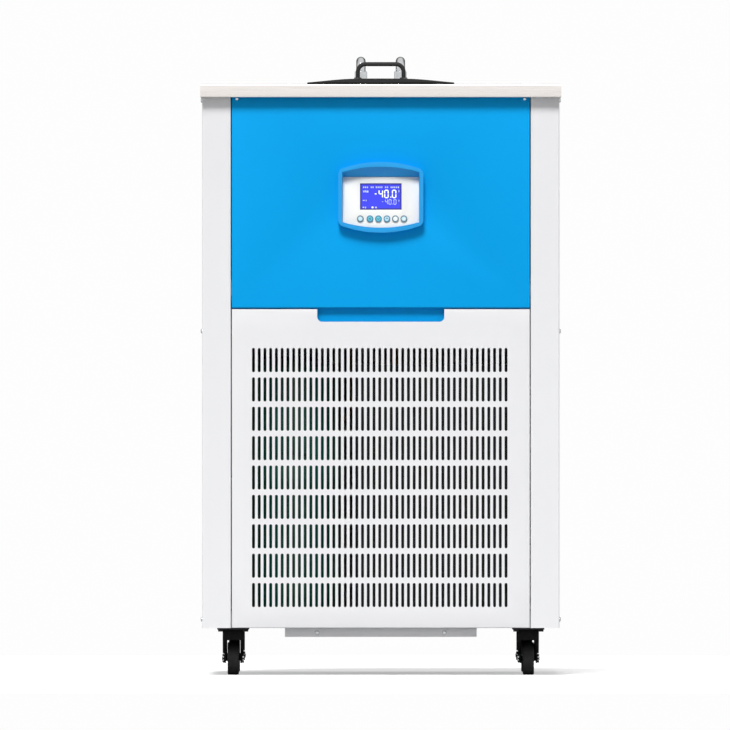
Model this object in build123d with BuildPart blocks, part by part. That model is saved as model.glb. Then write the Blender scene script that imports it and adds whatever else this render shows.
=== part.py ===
from build123d import *
import math
import os

os.makedirs("parts", exist_ok=True)

# Recirculating chiller: a floor-standing cabinet on four swivel casters.
# Millimetres, +Z up, the control panel faces -Y.
# The origin lies on the floor at the middle of the footprint.

# Cabinet and its sheet metal
cabinet_width = 544
cabinet_depth = 590
cabinet_height = 900
caster_height = 72
sheet = 1.2
bend_radius = 2.0
edge_return = 9
post_width = 43.8
rear_return = 18
panel_gap = 1.4
seat_gap = 0.3
running_clearance = 0.05

# Deck
deck_side_overhang = 3
deck_front_overhang = 15
deck_sheet = 1.5
deck_flange = 20
deck_hem = 9

# Front panels
panel_split_height = 558.4
split_gap = 2.1
backing_depth = 10
backing_drop = 32
backing_rise = 18
notch_width = 193.5
notch_height = 19
notch_radius = 7.5

# Slots of the front grille
slot_columns = 45
slot_rows = 9
slot_width = 4.4
slot_length = 36.8
slot_pitch_x = 8.74
slot_pitch_z = 44.73
slot_field_shift = -1.6
slot_field_height = 301.1

# Base pan, shelf and drip tray
pan_sheet = 1.5
pan_flange = 25
pan_margin = 0.9
shelf_height = 600
shelf_flange = 25
tray_width = 292
tray_depth = 330
tray_height = 13.7
tray_setback = 20

# Bath
bath_y = -10
bath_width = 320
bath_length = 340
bath_floor_gap = 62
bath_wall = 1.5
mouth_y = -50
mouth_radius = 100
insulation_thickness = 50
evaporator_margin = 21.5
evaporator_thickness = 9
pipe_channel_width = 16

# Lid and its handle
lid_radius = 112.5
lid_rim = 4.6
lid_crown = 6.2
lid_flat_radius = 48
handle_spacing = 70
handle_top = 936
handle_bar = 6.4
handle_depth = 10
handle_bend = 15

# Control pod
pod_height = 727.8
pod_width = 129.6
pod_straight = 83.3
pod_arch = 12.2
pod_corner = 10
pod_rim = 6.2
pod_proud = 13
pod_spigot = 9
pod_opening_inset = 8
window_arch = 8.4
window_straight = 76.4
fascia_lean = 8.5
fascia_setback = 2.5
fascia_length = 78.8
fascia_thickness = 2
pocket_width = 108
pocket_length = 66
pocket_rise = 7
display_width = 62.7
display_height = 40.1
display_rise = 48.4
display_thickness = 1.4
display_frame = 4
board_gap = 2.6
board_thickness = 1.6

# Keys of the control pod
key_count = 6
key_radius = 5.2
key_sides = 20
key_thickness = 1.2
key_travel = 0.7
key_end_gap = 0.1
key_stem = 4
key_stem_length = 4.5
key_stem_clearance = 0.15
key_rise = 13.85
key_pitch = 12.9
key_first = -31.2
key_second = -16.5

# Hose nozzles and the bath's pipes
nozzle_spacing = 60.6
nozzle_y = 130
pipe_radius = 7.25
pipe_bore = 6
nozzle_height = 938.8
nozzle_bend = 14.5
nozzle_reach = 46
nut_across_flats = 19
nut_height = 23.3
return_foot_gap = 76.5
suction_y = 60
elbow_wall = 2

# Circulation pump
pump_height = 150
pump_width = 84
pump_depth = 34
pump_motor_width = 78
pump_motor_length = 96
pump_foot_width = 60
pump_foot_length = 70

# Refrigeration machinery
compressor_wall_gap = 47
compressor_y = -140
compressor_radius = 85
compressor_height = 400
compressor_base_width = 176
compressor_base_sheet = 4
pad_size = 24
pad_height = 12
condenser_wall_gap = 49
machine_gap = 16
condenser_height = 400
condenser_depth = 56
condenser_front_gap = 24
condenser_end_sheet = 2
condenser_end_lip = 5
fan_margin = 13
fan_clearance = 9
fan_hub_radius = 42
fan_hub_sides = 20
fan_hub_length = 40
fan_blades = 5
fan_blade_chord = 78
fan_blade_pitch = 28
fan_blade_sheet = 2
fan_blade_root = 4
shroud_depth = 46
shroud_sheet = 1.5
fan_motor_gap = 1
stator_radius = 38
stator_sides = 8
stator_length = 14
stator_shaft_radius = 6
stator_shaft_length = 30
bracket_width = 30
bracket_sheet = 3

# Electrical box
control_box_width = 62
control_box_length = 200
control_box_height = 220
control_box_y = 150
control_box_shelf_gap = 80

# Rear panel
vent_columns = 3
vent_rows = 5
vent_web = 18
vent_width = 14
vent_margin = 10
vent_pitch_z = 48
gland_inset = 92
gland_height = 112
gland_across_flats = 24
gland_length = 12
drain_inset = 82
drain_height = 112
drain_across_flats = 21
drain_length = 13

# Casters
caster_side_inset = 47
caster_end_inset = 60
caster_plate = 48.6
caster_plate_sheet = 2.8
fork_width = 32
fork_length = 34
fork_crown_height = 53
fork_leg = 5
fork_toe = 2.6
fork_shoulder_height = 33
fork_toe_height = 18
fork_boss = 8
caster_trail = 22
wheel_radius = 25
wheel_flats = 24
wheel_width = 17.2
axle_radius = 4
axle_head = 11.5
axle_head_thickness = 3

# Levels and planes that several pieces share
front = -cabinet_depth / 2
back = cabinet_depth / 2
side = cabinet_width / 2
deck_under = cabinet_height - deck_sheet
pan_floor = caster_height + pan_sheet
panel_width = 2 * (side - post_width - panel_gap)
pan_front = front + edge_return + pan_margin
inner_back = back - sheet
inner_side = side - sheet
backing_back = front + backing_depth + sheet
lid_rim_top = cabinet_height + lid_rim
lid_top = lid_rim_top + lid_crown
nozzle_half = nozzle_spacing / 2
pipe_hole = pipe_radius + seat_gap
key_lift = key_travel + key_end_gap
bath_floor_height = shelf_height + bath_floor_gap
evaporator_height = deck_under - bath_floor_height - evaporator_margin
control_box_base = shelf_height - control_box_shelf_gap - control_box_height

# Machinery and the rear panel's openings, placed from the side sheets
compressor_x = compressor_radius + compressor_wall_gap - side
condenser_left = compressor_x + compressor_radius + machine_gap
condenser_right = side - condenser_wall_gap
condenser_x = (condenser_left + condenser_right) / 2
condenser_width = condenser_right - condenser_left
fan_radius = condenser_width / 2 - fan_margin
vent_pitch_x = (condenser_width - vent_margin) / vent_columns
vent_length = vent_pitch_x - vent_web
gland_x = gland_inset - side
drain_x = side - drain_inset
caster_x = side - caster_side_inset
caster_y = back - caster_end_inset


def keep(piece, name):
    """Names a finished piece and writes it to its own file."""
    piece.part.label = name
    export_step(piece.part, f"parts/{name}.step")


def side_panel(hand):
    """Folded side sheet with a wide return that makes the front post, and a narrow rear return."""
    inside = Side.LEFT if hand > 0 else Side.RIGHT
    with BuildPart() as panel:
        with BuildSketch(Plane.XY.offset(caster_height)):
            with BuildLine():
                Polyline(
                    (hand * (side - post_width), front + edge_return),
                    (hand * (side - post_width), front),
                    (hand * side, front),
                    (hand * side, back),
                    (hand * (side - rear_return), back),
                )
                offset(amount=sheet, side=inside)
            make_face()
        extrude(amount=deck_under - caster_height)
        fillet(panel.edges().filter_by(Axis.Z).group_by(Axis.Y)[0], radius=bend_radius)
    return panel


keep(side_panel(-1), "side_panel_left")
keep(side_panel(1), "side_panel_right")


def open_box(width, length, middle, base, height, wall):
    """Sheet-metal tray with its floor down, centred on x and on the given middle in y."""
    with BuildPart() as tray:
        with BuildSketch(Plane.XY.offset(base)):
            with Locations((0, middle)):
                Rectangle(width, length)
        extrude(amount=height)
        with BuildSketch(Plane.XY.offset(base + wall)):
            with Locations((0, middle)):
                Rectangle(width - 2 * wall, length - 2 * wall)
        extrude(amount=height, mode=Mode.SUBTRACT)
    return tray


# Base pan: a floor sheet with upturned flanges, which carries the machinery and the casters
pan_length = inner_back - pan_front
pan_middle = (inner_back + pan_front) / 2
base_pan = open_box(2 * inner_side, pan_length, pan_middle, caster_height, pan_flange, pan_sheet)
keep(base_pan, "base_pan")

# Drip tray: a shallow tray under the cabinet with a plain front apron
tray_middle = front + tray_setback + tray_depth / 2
tray_base = caster_height - tray_height
drip_tray = open_box(tray_width, tray_depth, tray_middle, tray_base, tray_height, sheet)
keep(drip_tray, "drip_tray")

# Rear panel: a flat sheet between the rear returns, with the vents behind the condenser fan
rear_width = 2 * (side - rear_return - panel_gap)
vent_height = pan_floor + condenser_height / 2
with BuildPart() as rear_panel:
    with BuildSketch(Plane.XZ.offset(-inner_back)):
        with Locations((0, (caster_height + deck_under) / 2)):
            Rectangle(rear_width, deck_under - caster_height)
        with Locations((condenser_x, vent_height)):
            with GridLocations(vent_pitch_x, vent_pitch_z, vent_columns, vent_rows):
                Rectangle(vent_length, vent_width, mode=Mode.SUBTRACT)
    extrude(amount=-sheet)
keep(rear_panel, "rear_panel")


def hex_fitting(x, height, across_flats, length):
    """Hexagonal fitting that stands out of the rear panel."""
    with BuildPart() as fitting:
        with BuildSketch(Plane.XZ.offset(-back)):
            with Locations((x, height)):
                RegularPolygon(across_flats / 2, 6, major_radius=False)
        extrude(amount=-length)
    return fitting


keep(hex_fitting(gland_x, gland_height, gland_across_flats, gland_length), "cable_gland")
keep(hex_fitting(drain_x, drain_height, drain_across_flats, drain_length), "drain_plug")

# Upper front panel: the coloured sheet round the control pod, with its lower edge folded back
upper_bottom = panel_split_height + split_gap / 2
pod_opening_width = pod_width - pod_rim
pod_opening_height = pod_straight - pod_opening_inset
with BuildPart() as upper_front_panel:
    with BuildSketch(Plane.YZ):
        with BuildLine():
            FilletPolyline(
                (front, deck_under),
                (front, upper_bottom),
                (front + backing_depth, upper_bottom),
                radius=bend_radius,
            )
            offset(amount=sheet, side=Side.LEFT)
        make_face()
    extrude(amount=panel_width / 2, both=True)
    with BuildSketch(Plane.XY.offset(upper_bottom + bend_radius)):
        with Locations((0, front + edge_return / 2)):
            Rectangle(panel_width, edge_return)
            Rectangle(panel_width - 2 * sheet, edge_return, mode=Mode.SUBTRACT)
    extrude(amount=deck_under - upper_bottom - bend_radius)
    with BuildSketch(Plane.XZ.offset(-front + sheet)):
        with Locations((0, pod_height)):
            Rectangle(pod_opening_width, pod_opening_height)
    extrude(amount=-3 * sheet, mode=Mode.SUBTRACT)
keep(upper_front_panel, "upper_front_panel")

# Notch backing: a coloured strip on the panel's folded edge, which closes the finger notch
with BuildPart() as notch_backing:
    with BuildSketch(Plane.XZ.offset(-front - backing_depth)):
        with Locations((0, upper_bottom + (backing_rise - backing_drop) / 2)):
            Rectangle(panel_width, backing_rise + backing_drop)
    extrude(amount=-sheet)
keep(notch_backing, "notch_backing")

# Front grille: a shallow tray of sheet with nine rows of slots and a finger notch in its top edge
grille_bottom = caster_height + seat_gap
grille_top = panel_split_height - split_gap / 2
grille_middle = (grille_top + grille_bottom) / 2
with BuildPart() as front_grille:
    with BuildSketch(Plane.XZ.offset(-front)):
        with Locations((0, grille_middle)):
            Rectangle(panel_width, grille_top - grille_bottom)
    extrude(amount=-edge_return)
    with BuildSketch(Plane.XZ.offset(-front - sheet)):
        with Locations((0, grille_middle)):
            Rectangle(panel_width - 2 * sheet, grille_top - grille_bottom - 2 * sheet)
    extrude(amount=-edge_return, mode=Mode.SUBTRACT)
    with BuildSketch(Plane.XZ.offset(-front + sheet)):
        with Locations((0, grille_top)):
            RectangleRounded(notch_width, 2 * notch_height, notch_radius)
    extrude(amount=-edge_return - 2 * sheet, mode=Mode.SUBTRACT)
    with BuildSketch(Plane.XZ.offset(-front + sheet)):
        with Locations((slot_field_shift, slot_field_height)):
            with GridLocations(slot_pitch_x, slot_pitch_z, slot_columns, slot_rows):
                Rectangle(slot_width, slot_length)
    extrude(amount=-3 * sheet, mode=Mode.SUBTRACT)
keep(front_grille, "front_grille")

# Deck: folded stainless top with a hemmed skirt, the bath's mouth and two nozzle holes
deck_width = cabinet_width + 2 * deck_side_overhang
deck_length = cabinet_depth + 2 * deck_front_overhang
deck_bottom = cabinet_height - deck_flange
with BuildPart() as top_deck:
    with BuildSketch(Plane.XY.offset(deck_bottom)):
        Rectangle(deck_width, deck_length)
    extrude(amount=deck_flange)
    fillet(top_deck.faces().sort_by(Axis.Z)[-1].edges(), radius=bend_radius)
    with BuildSketch(Plane.XY.offset(deck_bottom + deck_sheet)):
        Rectangle(deck_width - 2 * deck_sheet, deck_length - 2 * deck_sheet)
    extrude(amount=deck_flange - 2 * deck_sheet, mode=Mode.SUBTRACT)
    with BuildSketch(Plane.XY.offset(deck_bottom)):
        Rectangle(cabinet_width + 2 * seat_gap, deck_length - 2 * deck_hem)
    extrude(amount=deck_flange - deck_sheet, mode=Mode.SUBTRACT)
    with BuildSketch(Plane.XY.offset(cabinet_height)):
        with Locations((0, mouth_y)):
            Circle(mouth_radius)
        with Locations((-nozzle_half, nozzle_y), (nozzle_half, nozzle_y)):
            Circle(pipe_hole)
    extrude(amount=-deck_flange, mode=Mode.SUBTRACT)
keep(top_deck, "top_deck")

# Shelf: the folded sheet that carries the bath above the machinery
shelf_front = backing_back + seat_gap
shelf_middle = (shelf_front + inner_back) / 2
shelf_length = inner_back - shelf_front
channel_middle = (nozzle_y + suction_y) / 2
channel_length = nozzle_y - suction_y + pipe_channel_width
with BuildPart() as bath_shelf:
    with BuildSketch(Plane.XY.offset(shelf_height)):
        with Locations((0, shelf_middle)):
            Rectangle(2 * inner_side, shelf_length)
    extrude(amount=-shelf_flange)
    with BuildSketch(Plane.XY.offset(shelf_height - pan_sheet)):
        with Locations((0, shelf_middle)):
            Rectangle(2 * (inner_side - pan_sheet), shelf_length - 2 * pan_sheet)
    extrude(amount=-shelf_flange, mode=Mode.SUBTRACT)
    with BuildSketch(Plane.XY.offset(shelf_height)):
        with Locations((nozzle_half, channel_middle)):
            Rectangle(pipe_channel_width, channel_length)
    extrude(amount=-2 * pan_sheet, mode=Mode.SUBTRACT)
keep(bath_shelf, "bath_shelf")

# Bath tank: a welded stainless can under the deck. Its floor holds the pump's suction outlet and
# the delivery pipe, which rises through the bath to its nozzle.
bath_depth = deck_under - bath_floor_height
with BuildPart() as bath_tank:
    with BuildSketch(Plane.XY.offset(bath_floor_height)):
        with Locations((0, bath_y)):
            Rectangle(bath_width, bath_length)
    extrude(amount=bath_depth)
    with BuildSketch(Plane.XY.offset(bath_floor_height + bath_wall)):
        with Locations((0, bath_y)):
            Rectangle(bath_width - 2 * bath_wall, bath_length - 2 * bath_wall)
    extrude(amount=bath_depth, mode=Mode.SUBTRACT)
    with BuildSketch(Plane.XY.offset(bath_floor_height)):
        with Locations((nozzle_half, suction_y)):
            Circle(pipe_bore)
        with Locations((nozzle_half, nozzle_y)):
            Circle(pipe_radius + running_clearance)
    extrude(amount=bath_wall, mode=Mode.SUBTRACT)
keep(bath_tank, "bath_tank")

# Evaporator: the coil wound flat round the bath's wall, as the closed sleeve that it fills
sleeve_width = bath_width + 2 * evaporator_thickness
sleeve_length = bath_length + 2 * evaporator_thickness
with BuildPart() as evaporator:
    with BuildSketch(Plane.XY.offset(bath_floor_height)):
        with Locations((0, bath_y)):
            Rectangle(sleeve_width, sleeve_length)
            Rectangle(bath_width, bath_length, mode=Mode.SUBTRACT)
    extrude(amount=evaporator_height)
keep(evaporator, "evaporator")

# Insulation: the foam block round the bath and the evaporator, standing on the shelf
with BuildPart() as bath_insulation:
    with BuildSketch(Plane.XY.offset(shelf_height)):
        with Locations((0, bath_y)):
            Rectangle(bath_width + 2 * insulation_thickness, bath_length + 2 * insulation_thickness)
    extrude(amount=deck_under - shelf_height)
    with BuildSketch(Plane.XY.offset(bath_floor_height)):
        with Locations((0, bath_y)):
            Rectangle(sleeve_width, sleeve_length)
    extrude(amount=bath_depth, mode=Mode.SUBTRACT)
    with BuildSketch(Plane.XY.offset(shelf_height)):
        with Locations((nozzle_half, channel_middle)):
            Rectangle(pipe_channel_width, channel_length)
    extrude(amount=bath_floor_height - shelf_height, mode=Mode.SUBTRACT)
keep(bath_insulation, "bath_insulation")

# Lid: a shallow cover with a thin rim, which rests on the deck over the bath's mouth
with BuildPart() as lid:
    with BuildSketch(Plane.YZ):
        with BuildLine():
            Polyline(
                (mouth_y, lid_top),
                (mouth_y, cabinet_height),
                (mouth_y + lid_radius, cabinet_height),
                (mouth_y + lid_radius, lid_rim_top),
                (mouth_y + lid_flat_radius, lid_top),
                close=True,
            )
        make_face()
    revolve(axis=Axis((0, mouth_y, 0), (0, 0, 1)))
keep(lid, "lid")

# Lid handle: a moulded bow with rounded corners, screwed to the flat of the lid from below
bow_half = (handle_spacing + handle_bar) / 2
with BuildPart() as lid_handle:
    with BuildSketch(Plane.XZ.offset(-mouth_y)):
        with BuildLine():
            FilletPolyline(
                (-bow_half, lid_top),
                (-bow_half, handle_top),
                (bow_half, handle_top),
                (bow_half, lid_top),
                radius=handle_bend,
            )
            offset(amount=handle_bar, side=Side.RIGHT)
        make_face()
    extrude(amount=handle_depth / 2, both=True)
keep(lid_handle, "lid_handle")


def hose_pipe(name, x, foot):
    """Stainless pipe with a hexagonal collar on the deck, a quarter bend and a bored hose end."""
    bend_foot = nozzle_height - nozzle_bend
    bend_head = nozzle_y + nozzle_bend
    with BuildPart() as pipe:
        with BuildSketch(Plane.XY.offset(foot)):
            with Locations((x, nozzle_y)):
                Circle(pipe_radius)
        extrude(amount=bend_foot - foot)
        with BuildSketch(Plane.XY.offset(bend_foot)):
            with Locations((x, nozzle_y)):
                Circle(pipe_radius)
        revolve(axis=Axis((x, bend_head, bend_foot), (-1, 0, 0)), revolution_arc=90)
        with BuildSketch(Plane.XZ.offset(-bend_head)):
            with Locations((x, nozzle_height)):
                Circle(pipe_radius)
                Circle(pipe_bore, mode=Mode.SUBTRACT)
        extrude(amount=bend_head - nozzle_y - nozzle_reach)
        with BuildSketch(Plane.XY.offset(cabinet_height)):
            with Locations((x, nozzle_y)):
                RegularPolygon(nut_across_flats / 2, 6, major_radius=False)
        extrude(amount=nut_height)
    keep(pipe, name)


hose_pipe("return_pipe", -nozzle_half, bath_floor_height + return_foot_gap)
hose_pipe("delivery_pipe", nozzle_half, pump_height + pump_width / 2)

# Circulation pump: the wet end, and the motor behind it on a foot
pump_front = nozzle_y - pump_depth / 2
pump_back = nozzle_y + pump_depth / 2
with BuildPart() as circulation_pump:
    with BuildSketch(Plane.XZ.offset(-pump_back)):
        with Locations((nozzle_half, pump_height)):
            Rectangle(pump_width, pump_width)
    extrude(amount=pump_depth)
keep(circulation_pump, "circulation_pump")

motor_bottom = pump_height - pump_motor_width / 2
foot_middle = pump_back + pump_motor_length / 2
with BuildPart() as pump_motor:
    with BuildSketch(Plane.XZ.offset(-pump_back)):
        with Locations((nozzle_half, pump_height)):
            Rectangle(pump_motor_width, pump_motor_width)
    extrude(amount=-pump_motor_length)
    with BuildSketch(Plane.XY.offset(pan_floor)):
        with Locations((nozzle_half, foot_middle)):
            Rectangle(pump_foot_width, pump_foot_length)
    extrude(amount=motor_bottom - pan_floor)
keep(pump_motor, "pump_motor")

# Suction pipe: from the bath's floor straight down, and by a square elbow into the pump's front
elbow_half = pipe_radius + elbow_wall
with BuildPart() as suction_pipe:
    with BuildSketch(Plane.XY.offset(pump_height)):
        with Locations((nozzle_half, suction_y)):
            Circle(pipe_radius)
    extrude(amount=bath_floor_height - pump_height)
    with BuildSketch(Plane.XZ.offset(-suction_y)):
        with Locations((nozzle_half, pump_height)):
            Circle(pipe_radius)
    extrude(amount=suction_y - pump_front)
    with BuildSketch(Plane.XY.offset(pump_height - elbow_half)):
        with Locations((nozzle_half, suction_y)):
            Rectangle(2 * elbow_half, 2 * elbow_half)
    extrude(amount=2 * elbow_half)
keep(suction_pipe, "suction_pipe")

# Compressor: a hermetic shell welded to its base plate, on four rubber pads
compressor_floor = pan_floor + pad_height
pad_spacing = compressor_base_width - pad_size
with BuildPart() as compressor:
    with BuildSketch(Plane.XY.offset(compressor_floor)):
        with Locations((compressor_x, compressor_y)):
            Rectangle(compressor_base_width, compressor_base_width)
    extrude(amount=compressor_base_sheet)
    with BuildSketch(Plane.XY.offset(compressor_floor)):
        with Locations((compressor_x, compressor_y)):
            Circle(compressor_radius)
    extrude(amount=compressor_height)
keep(compressor, "compressor")

with BuildPart() as compressor_pads:
    with BuildSketch(Plane.XY.offset(pan_floor)):
        with Locations((compressor_x, compressor_y)):
            with GridLocations(pad_spacing, pad_spacing, 2, 2):
                Rectangle(pad_size, pad_size)
    extrude(amount=pad_height)
keep(compressor_pads, "compressor_pads")

# Condenser: the finned core between two end sheets, whose lips stand proud of the fins
condenser_front = front + edge_return + condenser_front_gap
condenser_back = condenser_front + condenser_depth
condenser_middle = (condenser_front + condenser_back) / 2
end_inset = (condenser_width - condenser_end_sheet) / 2
with BuildPart() as condenser:
    with BuildSketch(Plane.XY.offset(pan_floor)):
        with Locations((condenser_x, condenser_middle)):
            Rectangle(condenser_width, condenser_depth - 2 * condenser_end_lip)
        with Locations(
            (condenser_x - end_inset, condenser_middle), (condenser_x + end_inset, condenser_middle)
        ):
            Rectangle(condenser_end_sheet, condenser_depth)
    extrude(amount=condenser_height)
keep(condenser, "condenser")

# Fan shroud: a sheet box on the condenser's back, with the fan's round throat
throat_radius = fan_radius + fan_clearance
shroud_back = condenser_back + shroud_depth
fan_height = pan_floor + condenser_height / 2
with BuildPart() as fan_shroud:
    with BuildSketch(Plane.XZ.offset(-condenser_back)):
        with Locations((condenser_x, fan_height)):
            Rectangle(condenser_width, condenser_height)
    extrude(amount=-shroud_depth)
    with BuildSketch(Plane.XZ.offset(-condenser_back)):
        with Locations((condenser_x, fan_height)):
            Rectangle(condenser_width - 2 * shroud_sheet, condenser_height - 2 * shroud_sheet)
    extrude(amount=shroud_sheet - shroud_depth, mode=Mode.SUBTRACT)
    with BuildSketch(Plane.XZ.offset(-shroud_back)):
        with Locations((condenser_x, fan_height)):
            Circle(throat_radius)
    extrude(amount=2 * shroud_sheet, mode=Mode.SUBTRACT)
keep(fan_shroud, "fan_shroud")

# Condenser fan: pitched blades on the can of an external-rotor motor, bored for the stator's shaft
fan_back = shroud_back + fan_hub_length / 2
blade_span = fan_radius - fan_hub_radius + fan_blade_root
fan_middle = Vector(condenser_x, shroud_back, fan_height)
with BuildPart() as condenser_fan:
    with BuildSketch(Plane.XZ.offset(-fan_back)):
        with Locations((condenser_x, fan_height)):
            RegularPolygon(fan_hub_radius, fan_hub_sides)
    extrude(amount=fan_hub_length)
    for blade in range(fan_blades):
        angle = 2 * math.pi * blade / fan_blades
        outward = Vector(math.sin(angle), 0, math.cos(angle))
        along = Vector(math.cos(angle), 0, -math.sin(angle)).rotate(
            Axis((0, 0, 0), tuple(outward)), fan_blade_pitch
        )
        root = fan_middle + outward * (fan_hub_radius - fan_blade_root)
        with BuildSketch(Plane(origin=root, x_dir=along, z_dir=outward)):
            Rectangle(fan_blade_chord, fan_blade_sheet)
        extrude(amount=blade_span)
    with BuildSketch(Plane.XZ.offset(-fan_back)):
        with Locations((condenser_x, fan_height)):
            Circle(stator_shaft_radius + running_clearance)
    extrude(amount=stator_shaft_length, mode=Mode.SUBTRACT)
keep(condenser_fan, "condenser_fan")

# Fan motor: the fixed stator with its shaft, on a bracket that spans the shroud
stator_front = fan_back + fan_motor_gap
stator_back = stator_front + stator_length
with BuildPart() as fan_motor:
    with BuildSketch(Plane.XZ.offset(-stator_front)):
        with Locations((condenser_x, fan_height)):
            RegularPolygon(stator_radius, stator_sides)
    extrude(amount=-stator_length)
    with BuildSketch(Plane.XZ.offset(-stator_front)):
        with Locations((condenser_x, fan_height)):
            Circle(stator_shaft_radius)
    extrude(amount=stator_shaft_length - fan_motor_gap)
keep(fan_motor, "fan_motor")

bracket_half = condenser_width / 2
with BuildPart() as fan_bracket:
    with BuildSketch(Plane.XY.offset(fan_height)):
        with BuildLine():
            Polyline(
                (condenser_x - bracket_half, shroud_back),
                (condenser_x - bracket_half, stator_back + bracket_sheet),
                (condenser_x + bracket_half, stator_back + bracket_sheet),
                (condenser_x + bracket_half, shroud_back),
            )
            offset(amount=bracket_sheet, side=Side.RIGHT)
        make_face()
    extrude(amount=bracket_width / 2, both=True)
keep(fan_bracket, "fan_bracket")

# Electrical box on the left side sheet
with BuildPart() as control_box:
    with BuildSketch(Plane.XY.offset(control_box_base)):
        with Locations((-inner_side + control_box_width / 2, control_box_y)):
            Rectangle(control_box_width, control_box_length)
    extrude(amount=control_box_height)
keep(control_box, "control_box")

# Control pod. In front view it has straight sides, an arched head and an arched foot.
# Inside the moulded bezel the fascia leans back at its top, so the head of the window slopes.
pod_plane = Plane(origin=(0, front, pod_height), x_dir=(1, 0, 0), z_dir=(0, -1, 0))
lean = math.radians(fascia_lean)
window_half = pod_width / 2 - pod_rim
window_foot = window_straight / 2 + window_arch
fascia_plane = Plane(
    origin=(0, front - pod_proud + fascia_setback, pod_height - window_foot),
    x_dir=(1, 0, 0),
    z_dir=(0, -math.cos(lean), math.sin(lean)),
)


def arched_outline(plane, half, foot, head, foot_arch, head_arch):
    """Face with straight sides, an arched foot and an arched or straight head, on a plane."""
    with BuildSketch(plane) as outline:
        with BuildLine():
            ThreePointArc((-half, foot), (0, foot - foot_arch), (half, foot))
            Line((half, foot), (half, head))
            if head_arch > 0:
                ThreePointArc((half, head), (0, head + head_arch), (-half, head))
            else:
                Line((half, head), (-half, head))
            Line((-half, head), (-half, foot))
        make_face()
    return outline.sketch


fascia_foot = window_arch / math.cos(lean)
fascia_seat = arched_outline(
    fascia_plane, window_half, fascia_foot, fascia_length, fascia_foot, 0
)
fascia_sheet = arched_outline(
    fascia_plane,
    window_half - seat_gap,
    fascia_foot + seat_gap,
    fascia_length - seat_gap,
    fascia_foot,
    0,
)

# The hollow in front of the fascia: the window's outline carried back to the fascia,
# with a head that slopes from the top of the fascia forward to the rim.
fascia_low = fascia_plane.origin
fascia_high = fascia_low + fascia_plane.y_dir * fascia_length
rim_y = front - pod_proud
with BuildPart() as window_hollow:
    window = arched_outline(
        pod_plane.offset(pod_proud),
        window_half,
        -window_straight / 2,
        window_straight / 2,
        window_arch,
        window_arch,
    )
    extrude(window, amount=-pod_proud - pod_spigot)
    with BuildSketch(Plane.YZ):
        with BuildLine():
            Polyline(
                (rim_y, fascia_low.Z),
                (fascia_low.Y, fascia_low.Z),
                (fascia_high.Y, fascia_high.Z),
                (rim_y, pod_height + window_foot),
                close=True,
            )
        make_face()
    extrude(amount=window_half, both=True, mode=Mode.INTERSECT)

pocket_middle = pocket_rise + pocket_length / 2
with BuildPart() as pod_bezel:
    with BuildSketch(pod_plane):
        with BuildLine():
            ThreePointArc(
                (-pod_width / 2, -pod_straight / 2),
                (0, -pod_straight / 2 - pod_arch),
                (pod_width / 2, -pod_straight / 2),
            )
            Line((pod_width / 2, -pod_straight / 2), (pod_width / 2, pod_straight / 2))
            ThreePointArc(
                (pod_width / 2, pod_straight / 2),
                (0, pod_straight / 2 + pod_arch),
                (-pod_width / 2, pod_straight / 2),
            )
            Line((-pod_width / 2, pod_straight / 2), (-pod_width / 2, -pod_straight / 2))
        make_face()
        fillet(vertices(), radius=pod_corner)
    extrude(amount=pod_proud)
    with BuildSketch(pod_plane):
        Rectangle(pod_opening_width - 2 * seat_gap, pod_opening_height - 2 * seat_gap)
    extrude(amount=-pod_spigot)
    add(window_hollow.part, mode=Mode.SUBTRACT)
    extrude(fascia_seat, amount=-fascia_thickness, mode=Mode.SUBTRACT)
    with BuildSketch(fascia_plane):
        with Locations((0, pocket_middle)):
            Rectangle(pocket_width, pocket_length)
    extrude(amount=-pod_proud - pod_spigot, mode=Mode.SUBTRACT)
keep(pod_bezel, "pod_bezel")

# Fascia: the moulded plate with the display window and the holes for the keys' stems
key_places = [key_first] + [key_second + key_pitch * step for step in range(key_count - 1)]
key_hole = key_stem + 2 * key_stem_clearance
with BuildPart() as display_fascia:
    extrude(fascia_sheet, amount=-fascia_thickness)
    with BuildSketch(fascia_plane):
        with Locations((0, display_rise)):
            Rectangle(display_width + 2 * seat_gap, display_height + 2 * seat_gap)
        with Locations(*[(x, key_rise) for x in key_places]):
            Rectangle(key_hole, key_hole)
    extrude(amount=-fascia_thickness, mode=Mode.SUBTRACT)
keep(display_fascia, "display_fascia")

# Display: the screen in the fascia's window, and its wider frame behind the fascia
with BuildPart() as display:
    with BuildSketch(fascia_plane.offset(-fascia_thickness)):
        with Locations((0, display_rise)):
            Rectangle(display_width, display_height)
    extrude(amount=display_thickness)
    with BuildSketch(fascia_plane.offset(-fascia_thickness)):
        with Locations((0, display_rise)):
            Rectangle(display_width + 2 * display_frame, display_height + 2 * display_frame)
    extrude(amount=-board_gap)
keep(display, "display")

# Controller board behind the display, in the bezel's pocket
with BuildPart() as controller_board:
    with BuildSketch(fascia_plane.offset(-fascia_thickness - board_gap)):
        with Locations((0, pocket_middle)):
            Rectangle(pocket_width - 2 * seat_gap, pocket_length - 2 * seat_gap)
    extrude(amount=-board_thickness)
keep(controller_board, "controller_board")


def key(number, x):
    """Round cap on a square stem. It stands clear of the fascia by more than its travel."""
    with BuildPart() as button:
        with BuildSketch(fascia_plane.offset(key_lift)):
            with Locations((x, key_rise)):
                RegularPolygon(key_radius, key_sides)
        extrude(amount=key_thickness)
        with BuildSketch(fascia_plane.offset(key_lift)):
            with Locations((x, key_rise)):
                Rectangle(key_stem, key_stem)
        extrude(amount=-key_stem_length)
    keep(button, f"key_{number}")


for index, place in enumerate(key_places):
    key(index + 1, place)

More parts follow.
